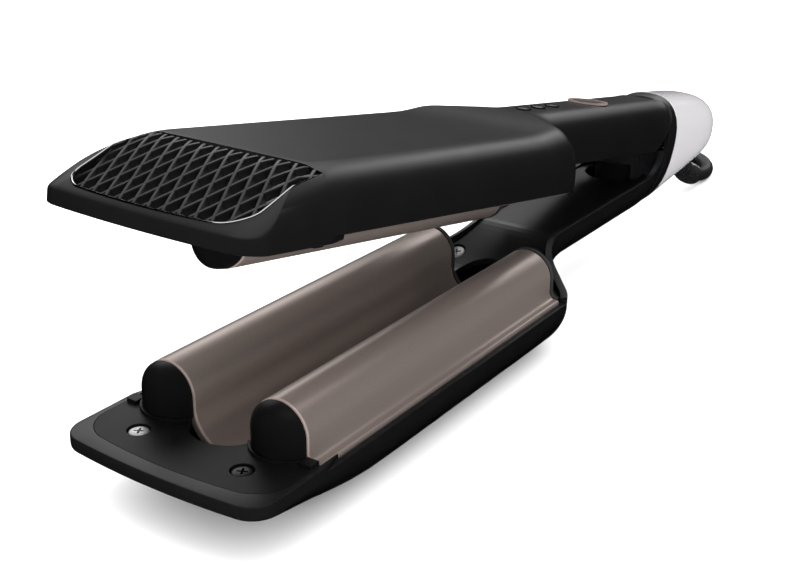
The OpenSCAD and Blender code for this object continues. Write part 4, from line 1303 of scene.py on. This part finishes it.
    def trim(self, height: Height) -> Skin:
        """The thin trim along the window's bottom and sides.

        Args:
            height: Height of the skin.

        Returns:
            The trim in the slope's frame.
        """
        skin = Skin()
        spots = self.outline()
        path = [Vector((s + self.bow(y), y, height(s + self.bow(y), y) - self.TRIM_SINK)) for s, y in spots]
        last = len(spots) - 1
        shares = [self.TRIM_END + self.TRIM_GROWTH * min(k, last - k) for k in range(last + 1)]
        radii = [self.trim_r * min(1.0, share) for share in shares]
        skin.tube(path, radii, 8)
        return skin


@dataclass(frozen=True)
class Head:
    """Builds one arm's casing with its vent.

    Attributes:
        casing: The casing.
        vent: The vent in its nose.
    """

    casing: Casing
    vent: NoseVent

    def build(self, holes: Sequence[tuple[float, float]]) -> None:
        """Builds the casing, the lattice, its trim and its backing.

        Args:
            holes: Place along the back and radius of each round hole in it.
        """
        arm = self.casing.arm
        place = SIZES.arm_matrix(arm)
        slope = place @ SIZES.slope_matrix(arm)
        prefix = arm.value
        piece = self.casing.shell().build(f"{prefix}_casing", place, [Finish.CASE])
        height = self.vent.heights(piece, slope)
        parts = (
            ("lattice", self.vent.lattice(height), Finish.LATTICE, "grille_black", "grille"),
            ("trim", self.vent.trim(height), Finish.TRIM, "trim_silver", "grille_trim"),
            ("backing", self.vent.backing(height), Finish.BACKING, "backing_grey", "grille_backing"),
        )
        for kind, skin, finish, slot, node in parts:
            made = skin.build(f"{prefix}_vent_{kind}", slope, [finish])
            hand_over(made, arm.body, [f"{prefix}_{node}"])
        carve(piece, self.vent.cutter("window_cut", slope))
        if holes:
            drill = Skin()
            for x, radius in holes:
                at = Matrix.Translation((x, 0, self.casing.back_z(x)))
                drill.lathe([(radius, -2.0), (radius, 3.4)], 48, at)
            carve(piece, drill.build("drill", place, [Finish.CASE]))
        hand_over(piece, arm.body, [f"{prefix}_case"])


# ---------------------------------------------------------------- wave plates and barrel caps


@dataclass(frozen=True)
class WavePlate:
    """Wave plate of one arm.

    Attributes:
        arm: The arm.
        round_end: Rounding of the plate's ends.
        round_side: Rounding of the outer edge of its flanges.
    """

    arm: Arm
    round_end: float = 0.55
    round_side: float = 0.7

    RIDGE_STEPS = 44
    HALF_STEPS = 24
    END_STEPS = 4

    def surface(self) -> list[Vector]:
        """Half of the plate's upper surface in section, y and z, from the middle outwards."""
        s = SIZES
        ridge, valley = s.ridge_axis(self.arm), s.valley_axis(self.arm)
        flange = -s.flange_drop

        def arc(y: float, z: float, r: float, first: float, last: float, steps: int) -> list[Vector]:
            """Points of an arc about (y, z), angles in degrees from +y."""
            turn = [math.radians(blend(first, last, k / steps)) for k in range(steps + 1)]
            return [Vector((0, y + r * math.cos(t), z + r * math.sin(t))) for t in turn]

        if self.arm is Arm.LOWER:
            half = arc(0, valley, s.valley_r, 270, 360, self.HALF_STEPS)
            half += arc(s.ridge_y, ridge, s.ridge_r, 180, 0, self.RIDGE_STEPS)
            foot = s.ridge_y + s.ridge_r + s.foot_fillet
            half += arc(foot, flange + s.foot_fillet, s.foot_fillet, 180, 270, 10)
        else:
            half = arc(0, ridge, s.ridge_r, 90, 0, self.HALF_STEPS)
            stop = 360 + math.degrees(math.asin((flange - valley) / s.valley_r))
            half += arc(s.ridge_y, valley, s.valley_r, 180, stop, self.RIDGE_STEPS)
        r = self.round_side
        half += arc(s.flange_hw - r, flange - r, r, 90, 0, 6)
        half.append(Vector((0, s.flange_hw, flange - s.plate_t + 0.4)))
        kept = [half[0]]
        for p in half[1:]:
            if (p - kept[-1]).length > 0.02:
                kept.append(p)
        return kept

    def section(self) -> list[Vector]:
        """The whole upper surface in section, from one flange to the other."""
        half = self.surface()
        return [Vector((0, -p.y, p.z)) for p in reversed(half[1:])] + half

    @staticmethod
    def offset(section: Sequence[Vector], out: float) -> list[Vector]:
        """The section moved outwards along its normals."""
        headings = [heading(section, i) for i in range(len(section))]
        return [p + Vector((0, -run.z, run.y)) * out for p, run in zip(section, headings)]

    def slab(self) -> Skin:
        """The plate: it follows the section, and the rounding at its ends has the second material, a lighter
        colour that paints a highlight on those edges.

        Returns:
            The plate in the arm frame.
        """
        skin = Skin()
        base, length = self.section(), SIZES.plate_len
        turns = [math.pi / 2 * k / self.END_STEPS for k in range(self.END_STEPS, -1, -1)]
        ends = [(self.round_end * (1 - math.sin(t)), -self.round_end * (1 - math.cos(t))) for t in turns]
        outer_at = ends + [(length - x, out) for x, out in reversed(ends)]
        outer, inner = (
            [skin.ring([Vector((x, p.y, p.z)) for p in self.offset(base, out)]) for x, out in stations]
            for stations in (outer_at, [(0.0, -SIZES.plate_t), (length, -SIZES.plate_t)])
        )
        first = len(ends)
        for rings, slot in ((outer[:first], 1), (outer[first - 1 : first + 1], 0), (outer[first:], 1)):
            skin.loft(rings, slot, closed=False)
        skin.loft([outer[-1], inner[1], inner[0], outer[0]], 0, closed=False)
        for side in (0, -1):
            skin.face([ring[side] for ring in outer] + [inner[1][side], inner[0][side]])
        return skin

    def build(self) -> None:
        """Builds the plate."""
        place = SIZES.arm_matrix(self.arm)
        piece = self.slab().build(f"{self.arm.value}_plate", place, [Finish.PLATE, Finish.PLATE_EDGE_PAINTED_HIGHLIGHT], 40)
        hand_over(piece, self.arm.body, [f"{self.arm.value}_wave_plate"])


@dataclass(frozen=True)
class BarrelCaps:
    """Black ends of the ridges of one arm.

    Attributes:
        arm: The arm.
        inset: How much smaller they are than the ridge.
        radius: Radius of their front seen from above.
        centre: Where that arc is centred.
        rear: Where they end.
        power: Power of the rounding of their top.
    """

    arm: Arm
    inset: float = 0.15
    radius: float = 9.05
    centre: float = 3.0
    rear: float = -0.3
    power: float = 2.7

    FRONT_STEPS = 30
    TOP_STEPS = 20

    def build(self) -> None:
        """Builds the caps."""
        skin = Skin()
        r = SIZES.ridge_r - self.inset
        axis = SIZES.ridge_axis(self.arm)
        rows = [SIZES.ridge_y, -SIZES.ridge_y] if self.arm is Arm.LOWER else [0.0]
        widest = math.asin(r / self.radius)
        turns = [blend(-widest, widest, k / self.FRONT_STEPS) for k in range(self.FRONT_STEPS + 1)]
        front = [(self.centre - self.radius * math.cos(t), self.radius * math.sin(t)) for t in turns]
        plan = [(self.rear, -r), *front, (self.rear, r)]
        for y in rows:
            rings = []
            for z, wide, deep in self.levels(axis, r):
                ring = [Vector((blend(self.rear, px, deep), y + py * wide, z)) for px, py in plan]
                rings.append(skin.ring(ring))
            skin.loft(rings, capped=True)
        name = f"{self.arm.value}_barrel_cap" + ("s" if self.arm is Arm.LOWER else "")
        piece = skin.build(f"{name}_round", SIZES.arm_matrix(self.arm), [Finish.CAP], 50)
        hand_over(piece, self.arm.body, [name])

    def levels(self, axis: float, r: float) -> list[tuple[float, float, float]]:
        """Height, share of the width and share of the depth of each level.

        Args:
            axis: Height of the ridge's axis.
            r: Radius of the cap.

        Returns:
            The levels, from the foot up.
        """
        made = [(0.05, 1.0, 1.0), (axis / 2, 1.0, 1.0)]
        for k in range(self.TOP_STEPS + 1):
            t = math.pi / 2 * min(k / self.TOP_STEPS, 0.997)
            deep = (1 - math.sin(t) ** self.power) ** (1 / self.power)
            made.append((axis + r * math.sin(t), math.cos(t), deep))
        return made


# ---------------------------------------------------------------- tail


@dataclass(frozen=True)
class Tail:
    """Black collar and chrome cap at the tail.

    Attributes:
        power: Power of the rounding of their section.
        end_power: Power of the rounding of the cap's end.
        wall: Thickness of the cap.
        collar_wall: Thickness of the collar.
        sides: How many points a section has.
        edge: Rounding of the rims.
    """

    power: float = 2.5
    end_power: float = 8.0
    wall: float = 1.5
    collar_wall: float = 1.8
    sides: int = 112
    edge: float = 0.35

    CAP_STEPS = (
        0.004, 0.05, 0.15, 0.3, 0.45, 0.6, 0.7, 0.78, 0.84, 0.885, 0.92, 0.945, 0.965, 0.98, 0.99, 0.996, 1.0
    )
    INNER_STEPS = (0.0, 0.3, 0.6, 0.84, 0.92, 0.965, 0.99)
    EXIT_R = 5.45
    LEAST = 0.3
    BLUNT = 0.9985

    def ring(self, x: float, hw: float, hh: float, lean: float) -> list[Vector]:
        """A section of the tail.

        Args:
            x: Its place.
            hw: Its half width.
            hh: Its half height.
            lean: Its lean, as run over rise.

        Returns:
            Its points.
        """
        made = []
        for k in range(self.sides):
            t = 2 * math.pi * (k + 0.5) / self.sides
            y, z = (
                half * math.copysign(abs(share) ** (2 / self.power), share)
                for half, share in ((hw, math.cos(t)), (hh, math.sin(t)))
            )
            made.append(Vector((x + lean * z, y, SIZES.tail_z + z)))
        return made

    def collar(self) -> Skin:
        """The collar as a closed band with rounded rims."""
        s, skin = SIZES, Skin()
        front, back, e = s.seam_x + 0.1, s.ring_x - 0.05, self.edge
        curve = [(0.0, e), (0.1 * e, 0.3 * e), (0.4 * e, 0.08 * e), (e, 0)]
        profile = [(front + x, thin) for x, thin in curve]
        profile += [(back - x, thin) for x, thin in reversed(curve)]
        profile += [(back, self.collar_wall), (front, self.collar_wall)]
        rings = []
        for x, thin in profile:
            rings.append(skin.ring(self.ring(x, s.tail_hw - thin, s.tail_hh - thin, s.seam_lean)))
        skin.loft(rings + rings[:1])
        return skin

    def cap_ring(self, u: float, thin: float) -> list[Vector]:
        """A section of the cap.

        Args:
            u: Share of its length.
            thin: How far inside the outer skin.

        Returns:
            Its points.
        """
        s = SIZES
        round_off = (1 - (min(u, 1.0) * self.BLUNT) ** self.end_power) ** (1 / self.end_power)
        hh = s.tail_hh * (1 - s.cap_taper * u) * round_off - thin
        hw = s.tail_hw * round_off - thin
        x = s.ring_x + u * (s.cap_len - thin)
        return self.ring(x, max(hw, self.LEAST), max(hh, self.LEAST), s.seam_lean * (1 - u))

    def cap(self) -> Skin:
        """The cap as a closed shell, open towards the collar."""
        skin = Skin()
        outer = [skin.ring(self.cap_ring(0.0, 0.25))]
        outer += [skin.ring(self.cap_ring(u, 0.0)) for u in self.CAP_STEPS]
        inner = [skin.ring(self.cap_ring(u, self.wall)) for u in self.INNER_STEPS]
        for rings in (outer, inner, [outer[0], inner[0]]):
            skin.loft(rings)
        for rings in (outer, inner):
            skin.face(rings[-1])
        return skin

    def build(self) -> None:
        """Builds the collar and the cap."""
        place = SIZES.arm_matrix(Arm.LOWER)
        collar = self.collar().build("tail_collar_smooth", place, [Finish.CASE], 60)
        hand_over(collar, "lower_arm", ["tail_collar"])
        cap = self.cap().build("chrome_cap_smooth", place, [Finish.CHROME], 50)
        hole = Skin()
        exit_at = place @ StrainRelief().exit_matrix()
        hole.lathe([(self.EXIT_R, 2.0), (self.EXIT_R, 20.0)], 48, Matrix.Identity(4))
        carve(cap, hole.build("exit_drill", exit_at, [Finish.CHROME]), 50)
        hand_over(cap, "lower_arm", ["chrome_cap"])


@dataclass(frozen=True)
class StrainRelief:
    """Ribbed taper that guides the cord out of the tail.

    Attributes:
        exit_angle: Angle at which the cord leaves downwards.
        bend: Radius of its bend.
        turn: Angle that it turns.
        root_r: Radius at its root.
        tip_r: Radius at its tip.
        ribs: How many slots lie behind each other.
        depth: Depth of the slots.
        straight: Length of its straight root.
        ball_back: Distance from the ball to the cap's end.
        ball_z: Height of the ball.
        start: Distance from the ball to its root.
        sides: How many sides its section has.
        steps: How many steps it has along its length.
    """

    exit_angle: float = 60.0
    bend: float = 38.0
    turn: float = 45.0
    root_r: float = 4.95
    tip_r: float = 4.2
    ribs: int = 10
    depth: float = 1.0
    straight: float = 2.0
    ball_back: float = 10.0
    ball_z: float = 12.5
    start: float = 6.3
    sides: int = 72
    steps: int = 264

    ROW_START = 0.35
    SLOT_HALF, SLOT_EASE = 0.25, 0.07
    SLOT_SWING, SWING_EASE = 1.02, 0.16
    TIP, TIP_ROUND = 0.985, 0.5

    def exit_matrix(self) -> Matrix:
        """Matrix from the exit's frame, z along the cord, to the arm frame."""
        at = Matrix.Translation((SIZES.tail_x - self.ball_back, 0, self.ball_z))
        return at @ Matrix.Rotation(math.radians(90 + self.exit_angle), 4, "Y")

    def spot(self, s: float) -> Vector:
        """Its centre line at a share of its bend, below 0 on its straight root."""
        first = math.radians(self.exit_angle)
        angle = math.radians(self.exit_angle - self.turn * max(s, 0.0))
        run = self.start + self.straight * (1 + min(s, 0.0) * 10)
        ball_x = SIZES.tail_x - self.ball_back
        root = Vector((ball_x + run * math.cos(first), 0, self.ball_z - run * math.sin(first)))
        bent = Vector((math.sin(first) - math.sin(angle), 0, math.cos(first) - math.cos(angle)))
        return root + self.bend * bent

    def slot_depth(self, s: float, turn: float) -> float:
        """How deep the surface lies in a slot.

        Args:
            s: Share of the length.
            turn: Angle round the relief.

        Returns:
            The depth as a share of the full one.
        """
        deepest = 0.0
        for shift, middle in ((0.0, math.pi / 2), (0.5, 0.0)):
            row = s * (self.ribs + 1) - self.ROW_START + shift
            if not 0 < row < self.ribs:
                continue
            swing = abs((turn - middle + math.pi / 2) % math.pi - math.pi / 2)
            lengthwise = (self.SLOT_HALF - abs(row % 1.0 - 0.5)) / self.SLOT_EASE
            sideways = (self.SLOT_SWING - swing) / self.SWING_EASE
            inside = ease(lengthwise + 0.5) * ease(sideways + 0.5)
            deepest = max(deepest, inside)
        return deepest

    def build(self) -> None:
        """Builds the relief with its slots."""
        skin = Skin()
        rings = []
        for k in range(self.steps + 1):
            s = -0.1 + 1.1 * k / self.steps
            at, ahead = self.spot(s), self.spot(s + 0.004)
            run = (ahead - at).normalized()
            side = Vector((0, 1, 0))
            up = run.cross(side)
            share = max(s, 0.0)
            radius = blend(self.root_r, self.tip_r, share)
            if s > self.TIP:
                radius -= self.TIP_ROUND * ((s - self.TIP) / (1 - self.TIP)) ** 2
            ring = []
            for t in full_turn(self.sides):
                r = radius - self.depth * self.slot_depth(share, t) if s > 0 else radius
                ring.append(at + r * (math.cos(t) * side + math.sin(t) * up))
            rings.append(skin.ring(ring))
        skin.loft(rings, capped=True)
        piece = skin.build("strain_relief_slotted", SIZES.arm_matrix(Arm.LOWER), [Finish.SHEATH], 45)
        hand_over(piece, "lower_arm", ["strain_relief"])


# ---------------------------------------------------------------- cord


@dataclass(frozen=True)
class MainsCord:
    """The mains cord: out of the relief, along the surface and into its coil. Millimetres, row frame.

    Attributes:
        diameter: Its diameter.
        run: The points from the relief to the coil.
        centre: Middle of the coil.
        outer_r: Radius of the coil's outer turn.
        pitch: Distance between turns.
        layer: Height between layers.
        turns: Turns in each layer.
        steps: Points in each turn.
        lead: Length of the straight to the plug.
        lead_r: Radius of the bend before it.
        lead_turn: Angle of that bend.
    """

    diameter: float = 5.6
    run: tuple[tuple[float, float, float], ...] = (
        (174, 0, 6), (177.2, 0, 5.2), (180.6, 0, 4.3), (184, 0, 3.6), (187.5, 0.1, 3.1),
        (191.2, 0.5, 2.85), (196.3, 1.8, 2.8), (201, 4, 2.8), (205.3, 7, 2.8), (209, 10.7, 2.8),
        (212, 15, 2.8), (214.2, 19.7, 2.8), (215.5, 24.8, 2.8), (216, 30, 2.8), (216, 38, 2.8),
        (216, 46, 2.8), (216, 52.4, 2.8),
    )
    centre: tuple[float, float] = (174.0, 58.4)
    outer_r: float = 42.0
    pitch: float = 6.2
    layer: float = 6.2
    turns: float = 4.375
    steps: int = 24
    lead: float = 20.0
    lead_r: float = 60.0
    lead_turn: float = 25.0

    def points(self) -> list[Vector]:
        """Every point of the centre line."""
        made = [Vector(p) for p in self.run]
        low = self.run[-1][2]
        inner_r = self.outer_r - self.pitch * self.turns
        inward = round(self.turns * self.steps)
        half = self.steps // 2
        back = inward + half / 2
        for i in range(2 * inward + half + 1):
            r = inner_r + self.pitch * (abs(i - back) - half / 2) / self.steps
            t = 2 * math.pi * i / self.steps
            z = low + self.layer * ease((i - inward) / half)
            made.append(Vector((self.centre[0] + r * math.cos(t), self.centre[1] + r * math.sin(t), z)))
        lead_at = Vector((self.centre[0], self.centre[1] + self.outer_r, low + self.layer))
        for turn, straight in [(k / 5, 0.0) for k in range(1, 6)] + [(1.0, 0.5), (1.0, 1.0)]:
            t, run = math.radians(self.lead_turn * turn), straight * self.lead
            x = self.lead_r * math.sin(t) + run * math.cos(t)
            y = self.lead_r * (1 - math.cos(t)) + run * math.sin(t)
            made.append(lead_at - Vector((x, y, 0)))
        return made

    def build(self) -> None:
        points = self.points()
        curve = bpy.data.curves.new("mains_cord", "CURVE")
        curve.dimensions = "3D"
        curve.bevel_depth = self.diameter / 2 * MM
        curve.bevel_resolution = 5
        curve.resolution_u = 4
        curve.use_fill_caps = True
        spline = curve.splines.new("BEZIER")
        spline.bezier_points.add(len(points) - 1)
        for i, (knot, at) in enumerate(zip(spline.bezier_points, points)):
            before, after = points[max(i - 1, 0)], points[min(i + 1, len(points) - 1)]
            run = (after - before).normalized()
            knot.co = at * MM
            knot.handle_left_type = knot.handle_right_type = "FREE"
            knot.handle_left = (at - run * (at - before).length / 3) * MM
            knot.handle_right = (at + run * (after - at).length / 3) * MM
        curve.materials.append(Finish.SHEATH.made)
        cord = add_object("mains_cord", curve)
        hand_over(cord, "lower_arm", ["cord_run", "cord_coil"])


# ---------------------------------------------------------------- small pieces


@dataclass(frozen=True)
class Screws:
    """The cross-head screws of one arm.

    Attributes:
        arm: The arm.
        head_r: Radius of a head.
        head_h: Height of a head.
        sink: Depth of the counterbore.
        nose_x: Place of the nose screws.
        nose_y: Their distance from the middle.
        rear_x: Distance of the rear screws behind the plate.
        rear_y: Their distance from the middle.
        hub_r: Radius of a shank.
        cross_reach: Half length of a cross.
        cross_half: Half width of its arms.
        cross_turn: Its turn in radians.
    """

    arm: Arm
    head_r: float = 2.7
    head_h: float = 1.4
    sink: float = 1.7
    nose_x: float = -12.5
    nose_y: float = 16.5
    rear_x: float = 10.4
    rear_y: float = 14.2
    hub_r: float = 1.25
    cross_reach: float = 1.55
    cross_half: float = 0.32
    cross_turn: float = 0.5

    CROSS_LEVELS = ((0.6, -0.95), (1.0, 0.35))

    def places(self, casing: Casing) -> list[tuple[Matrix, float, int]]:
        """Frame, shank length and material slot of each screw.

        Args:
            casing: The casing, which gives the height of the rear panel.

        Returns:
            One row for each screw.
        """
        def panel(x: float) -> float:
            """Height of the inner panel."""
            return casing.grip_edge * casing.rise(x) - 0.6

        rear = SIZES.plate_len + self.rear_x
        tilt = math.atan2(panel(rear + 1) - panel(rear - 1), 2)
        made = []
        for side in (-1, 1):
            # Painted shade: the near nose screw takes slot 1, the near-black copy of the zinc.
            made.append((Matrix.Translation((self.nose_x, side * self.nose_y, 0)), 3.6, 1 if side < 0 else 0))
            at = Matrix.Translation((rear, side * self.rear_y, panel(rear)))
            made.append((at @ Matrix.Rotation(-tilt, 4, "Y"), 2.0, 0))
        return made

    def build(self, casing: Casing) -> None:
        """Builds the screws and cuts their crosses.

        Args:
            casing: The casing that they hold.
        """
        skin, cross = Skin(), Skin()
        for at, shank, slot in self.places(casing):
            low, r, hub = -self.sink, self.head_r, self.hub_r
            top = low + self.head_h
            outline = [(hub, low - shank), (hub, low), (r, low), (r, top - 0.45)]
            outline += [(r - 0.25, top - 0.14), (r - 0.8, top), (0.4, top + 0.05)]
            skin.lathe(outline, 40, at, slot)
            turn = at @ Matrix.Translation((0, 0, top)) @ Matrix.Rotation(self.cross_turn, 4, "Z")
            w, n = self.cross_reach, self.cross_half
            quarter = [(w, -n), (w, n), (n, n)]
            turns = ((1, 0), (0, 1), (-1, 0), (0, -1))
            plus = [(x * c - y * d, x * d + y * c) for c, d in turns for x, y in quarter]
            rings = []
            for share, z in self.CROSS_LEVELS:
                rings.append(cross.ring([turn @ Vector((x * share, y * share, z)) for x, y in plus]))
            cross.loft(rings, slot, capped=True)
        place = SIZES.arm_matrix(self.arm)
        finishes = [Finish.ZINC, Finish.ZINC_PAINTED_SHADE]
        piece = skin.build(f"{self.arm.value}_screws_crossed", place, finishes, 35)
        carve(piece, cross.build("cross_cut", place, finishes), 35)
        hand_over(piece, self.arm.body, [f"{self.arm.value}_screws"])


@dataclass(frozen=True)
class OpeningSpring:
    """Coil spring between the handles, drawn at one fixed length.

    Attributes:
        foot: Place of its lowest turn's centre along the handle.
        head: Place of its highest turn's centre.
        low: Height of the wire's centre at its foot.
        high: Height of the wire's centre at its head.
        straight: Height up to which it stands straight in its guide.
        radius: Radius of its turns.
        wire: Radius of its wire.
        turns: How many turns it has.
        steps: Points of each turn.
        keep: Its share of length with the arms closed; not used.
    """

    foot: float = 219.6
    head: float = 221.8
    low: float = 4.3
    high: float = 28.1
    straight: float = 15.5
    radius: float = 4.4
    wire: float = 0.6
    turns: int = 9
    steps: int = 24
    keep: float = 0.7

    def build(self) -> None:
        """Builds the spring."""
        count = self.turns * self.steps
        path = []
        for k in range(count + 1):
            z = blend(self.low, self.high, k / count)
            x = blend(self.foot, self.head, ease((z - self.straight) / (self.high - self.straight)))
            t = 2 * math.pi * k / self.steps
            path.append(Vector((x + self.radius * math.cos(t), self.radius * math.sin(t), z)))
        skin = Skin()
        skin.tube(path, [self.wire] * len(path))
        place = SIZES.arm_matrix(Arm.LOWER)
        piece = skin.build("opening_spring_coil", place, [Finish.BLACK_STEEL], 60)
        hand_over(piece, Arm.LOWER.body, ["opening_spring"])
        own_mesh(piece)


class FrameNodes:
    """Finishes of the nodes that keep their own mesh."""

    FINISHES = {
        "nose_plate": Finish.NOSE, "gasket": Finish.GASKET, "inner_panel": Finish.PANEL,
        "heaters": Finish.HEATER, "spring_guide": Finish.GUIDE, "hinge_bracket": Finish.STEEL,
        "hinge_pin": Finish.STEEL, "cord_socket": Finish.PANEL, "swivel_ball": Finish.PANEL,
        "plug_body": Finish.SHEATH, "plug_pins": Finish.TRIM, "spring_hood": Finish.HOOD,
        "hinge_fork": Finish.STEEL, "control_board": Finish.BOARD, "power_switch": Finish.SWITCH,
        "indicator_rings": Finish.TRIM, "indicator_lenses": Finish.LENS, "button_bezel": Finish.ROSE,
        "power_button": Finish.BUTTON,
    }

    def dress(self) -> None:
        """Gives every node that still shows its finish and smooth shading."""
        for name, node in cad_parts.items():
            if node.hide_render:
                continue
            finish = self.FINISHES.get(name) or self.FINISHES.get(name.split("_", 1)[1])
            node.data.materials.clear()
            node.data.materials.append(finish.made)
            smooth(node.data, 24)
            LOG.info("%s keeps its mesh in %s", name, finish.value.name)


# ---------------------------------------------------------------- studio


class Studio:
    """Camera, floor and lights."""

    CAMERA_AT = (-0.33285, -0.1864, 0.1705)
    CAMERA_AXES = (
        (0.5589, -0.829114, 0.01418), (0.314857, 0.228001, 0.921347), (-0.767135, -0.510477, 0.388482)
    )
    LENS, SENSOR = 56.84, 36
    SHIFT = (-0.0012, 0.0012)
    AIM = (0.0, 0.0, 0.05)
    AIR = 2.1
    LAMPS = (
        ("back_panel", (1.4, 0.8, 0.95), AIM, (1.8, 0.6), 5.0),
        ("overhead", (0.1, 0.0, 1.3), AIM, (1.5, 1.5), 7.0),
        ("rear_panel", (1.6, 0.1, 0.75), AIM, (0.7, 0.6), 2.2),
        ("far_panel", (0.75, 1.15, 0.75), (-0.05, 0.0, 0.05), (0.9, 0.8), 2.6),
    )

    def camera(self) -> None:
        """Sets the camera."""
        data = bpy.data.cameras.new("camera")
        data.lens, data.sensor_width = self.LENS, self.SENSOR
        data.shift_x, data.shift_y = self.SHIFT
        data.clip_start, data.clip_end = 0.01, 20
        camera = add_object("camera", data)
        turn = Matrix(self.CAMERA_AXES).transposed().to_4x4()
        camera.matrix_world = Matrix.Translation(self.CAMERA_AT) @ turn
        bpy.context.scene.camera = camera

    def floor(self) -> None:
        """Makes the pale floor."""
        mesh = bpy.data.meshes.new("floor")
        body = bmesh.new()
        bmesh.ops.create_grid(body, x_segments=4, y_segments=4, size=4.0)
        body.to_mesh(mesh)
        body.free()
        tree = ShaderTree("floor_pale")
        cloud = tree.noise(60.0).ramp(0.3, 0.7)
        tree.set(
            Base_Color=tree.mix(cloud, (0.93, 0.93, 0.93), (0.95, 0.95, 0.95)),
            Roughness=0.9,
            Specular_IOR_Level=0.0,
        )
        mesh.materials.append(tree.material)
        floor = add_object("floor", mesh)
        floor.visible_glossy = False

    def lamp(self, name: str, at: Colour, aim: Colour, size: tuple[float, float], power: float) -> None:
        """Adds a soft box.

        Args:
            name: Its name.
            at: Its place.
            aim: The point that it faces.
            size: Its width and height.
            power: Its power.
        """
        data = bpy.data.lights.new(name, "AREA")
        data.shape = "RECTANGLE"
        data.size, data.size_y = size
        data.energy = power
        lamp = add_object(name, data)
        lamp.location = at
        lamp.rotation_mode = "QUATERNION"
        lamp.rotation_quaternion = (Vector(aim) - Vector(at)).to_track_quat("-Z", "Y")

    def light(self) -> None:
        """Sets the world and the soft boxes."""
        world = bpy.data.worlds.new("studio_air")
        bpy.context.scene.world = world
        world.use_nodes = True
        air = world.node_tree.nodes["Background"]
        air.inputs["Color"].default_value = (1, 1, 1, 1)
        air.inputs["Strength"].default_value = self.AIR
        world.cycles_visibility.glossy = False
        for lamp in self.LAMPS:
            self.lamp(*lamp)
        bpy.context.scene.view_settings.view_transform = "Standard"
        bpy.context.scene.view_settings.look = "None"


def main() -> None:
    """Builds the studio, the cord and every sub-assembly in order."""
    logging.basicConfig(level=logging.INFO, format="%(name)s: %(message)s")
    studio = Studio()
    studio.camera()
    MainsCord().build()
    lower = Casing(
        Arm.LOWER, SIZES.head_hw - 15.5, 4, 1.9, nose_power=1.04, crease=6.0, flat_x=3.0,
        back_corner=13.0, full_x=22.0, swell=2.0,
    )
    upper = Casing(Arm.UPPER, SIZES.head_hw - 10.5, 5, 2.2, tail_round=8.0, tail_lift=8.0)
    button = (SIZES.plate_len + 69, 6.35)
    indicators = [(SIZES.plate_len + 21 + 10 * k, 1.95) for k in range(3)]
    Head(lower, NoseVent(Arm.LOWER)).build([])
    Head(upper, NoseVent(Arm.UPPER)).build([button, *indicators])
    for arm, casing in ((Arm.LOWER, lower), (Arm.UPPER, upper)):
        WavePlate(arm).build()
        BarrelCaps(arm).build()
        Screws(arm).build(casing)
    Tail().build()
    StrainRelief().build()
    OpeningSpring().build()
    FrameNodes().dress()
    studio.floor()
    studio.light()


if __name__ == "__main__":
    main()
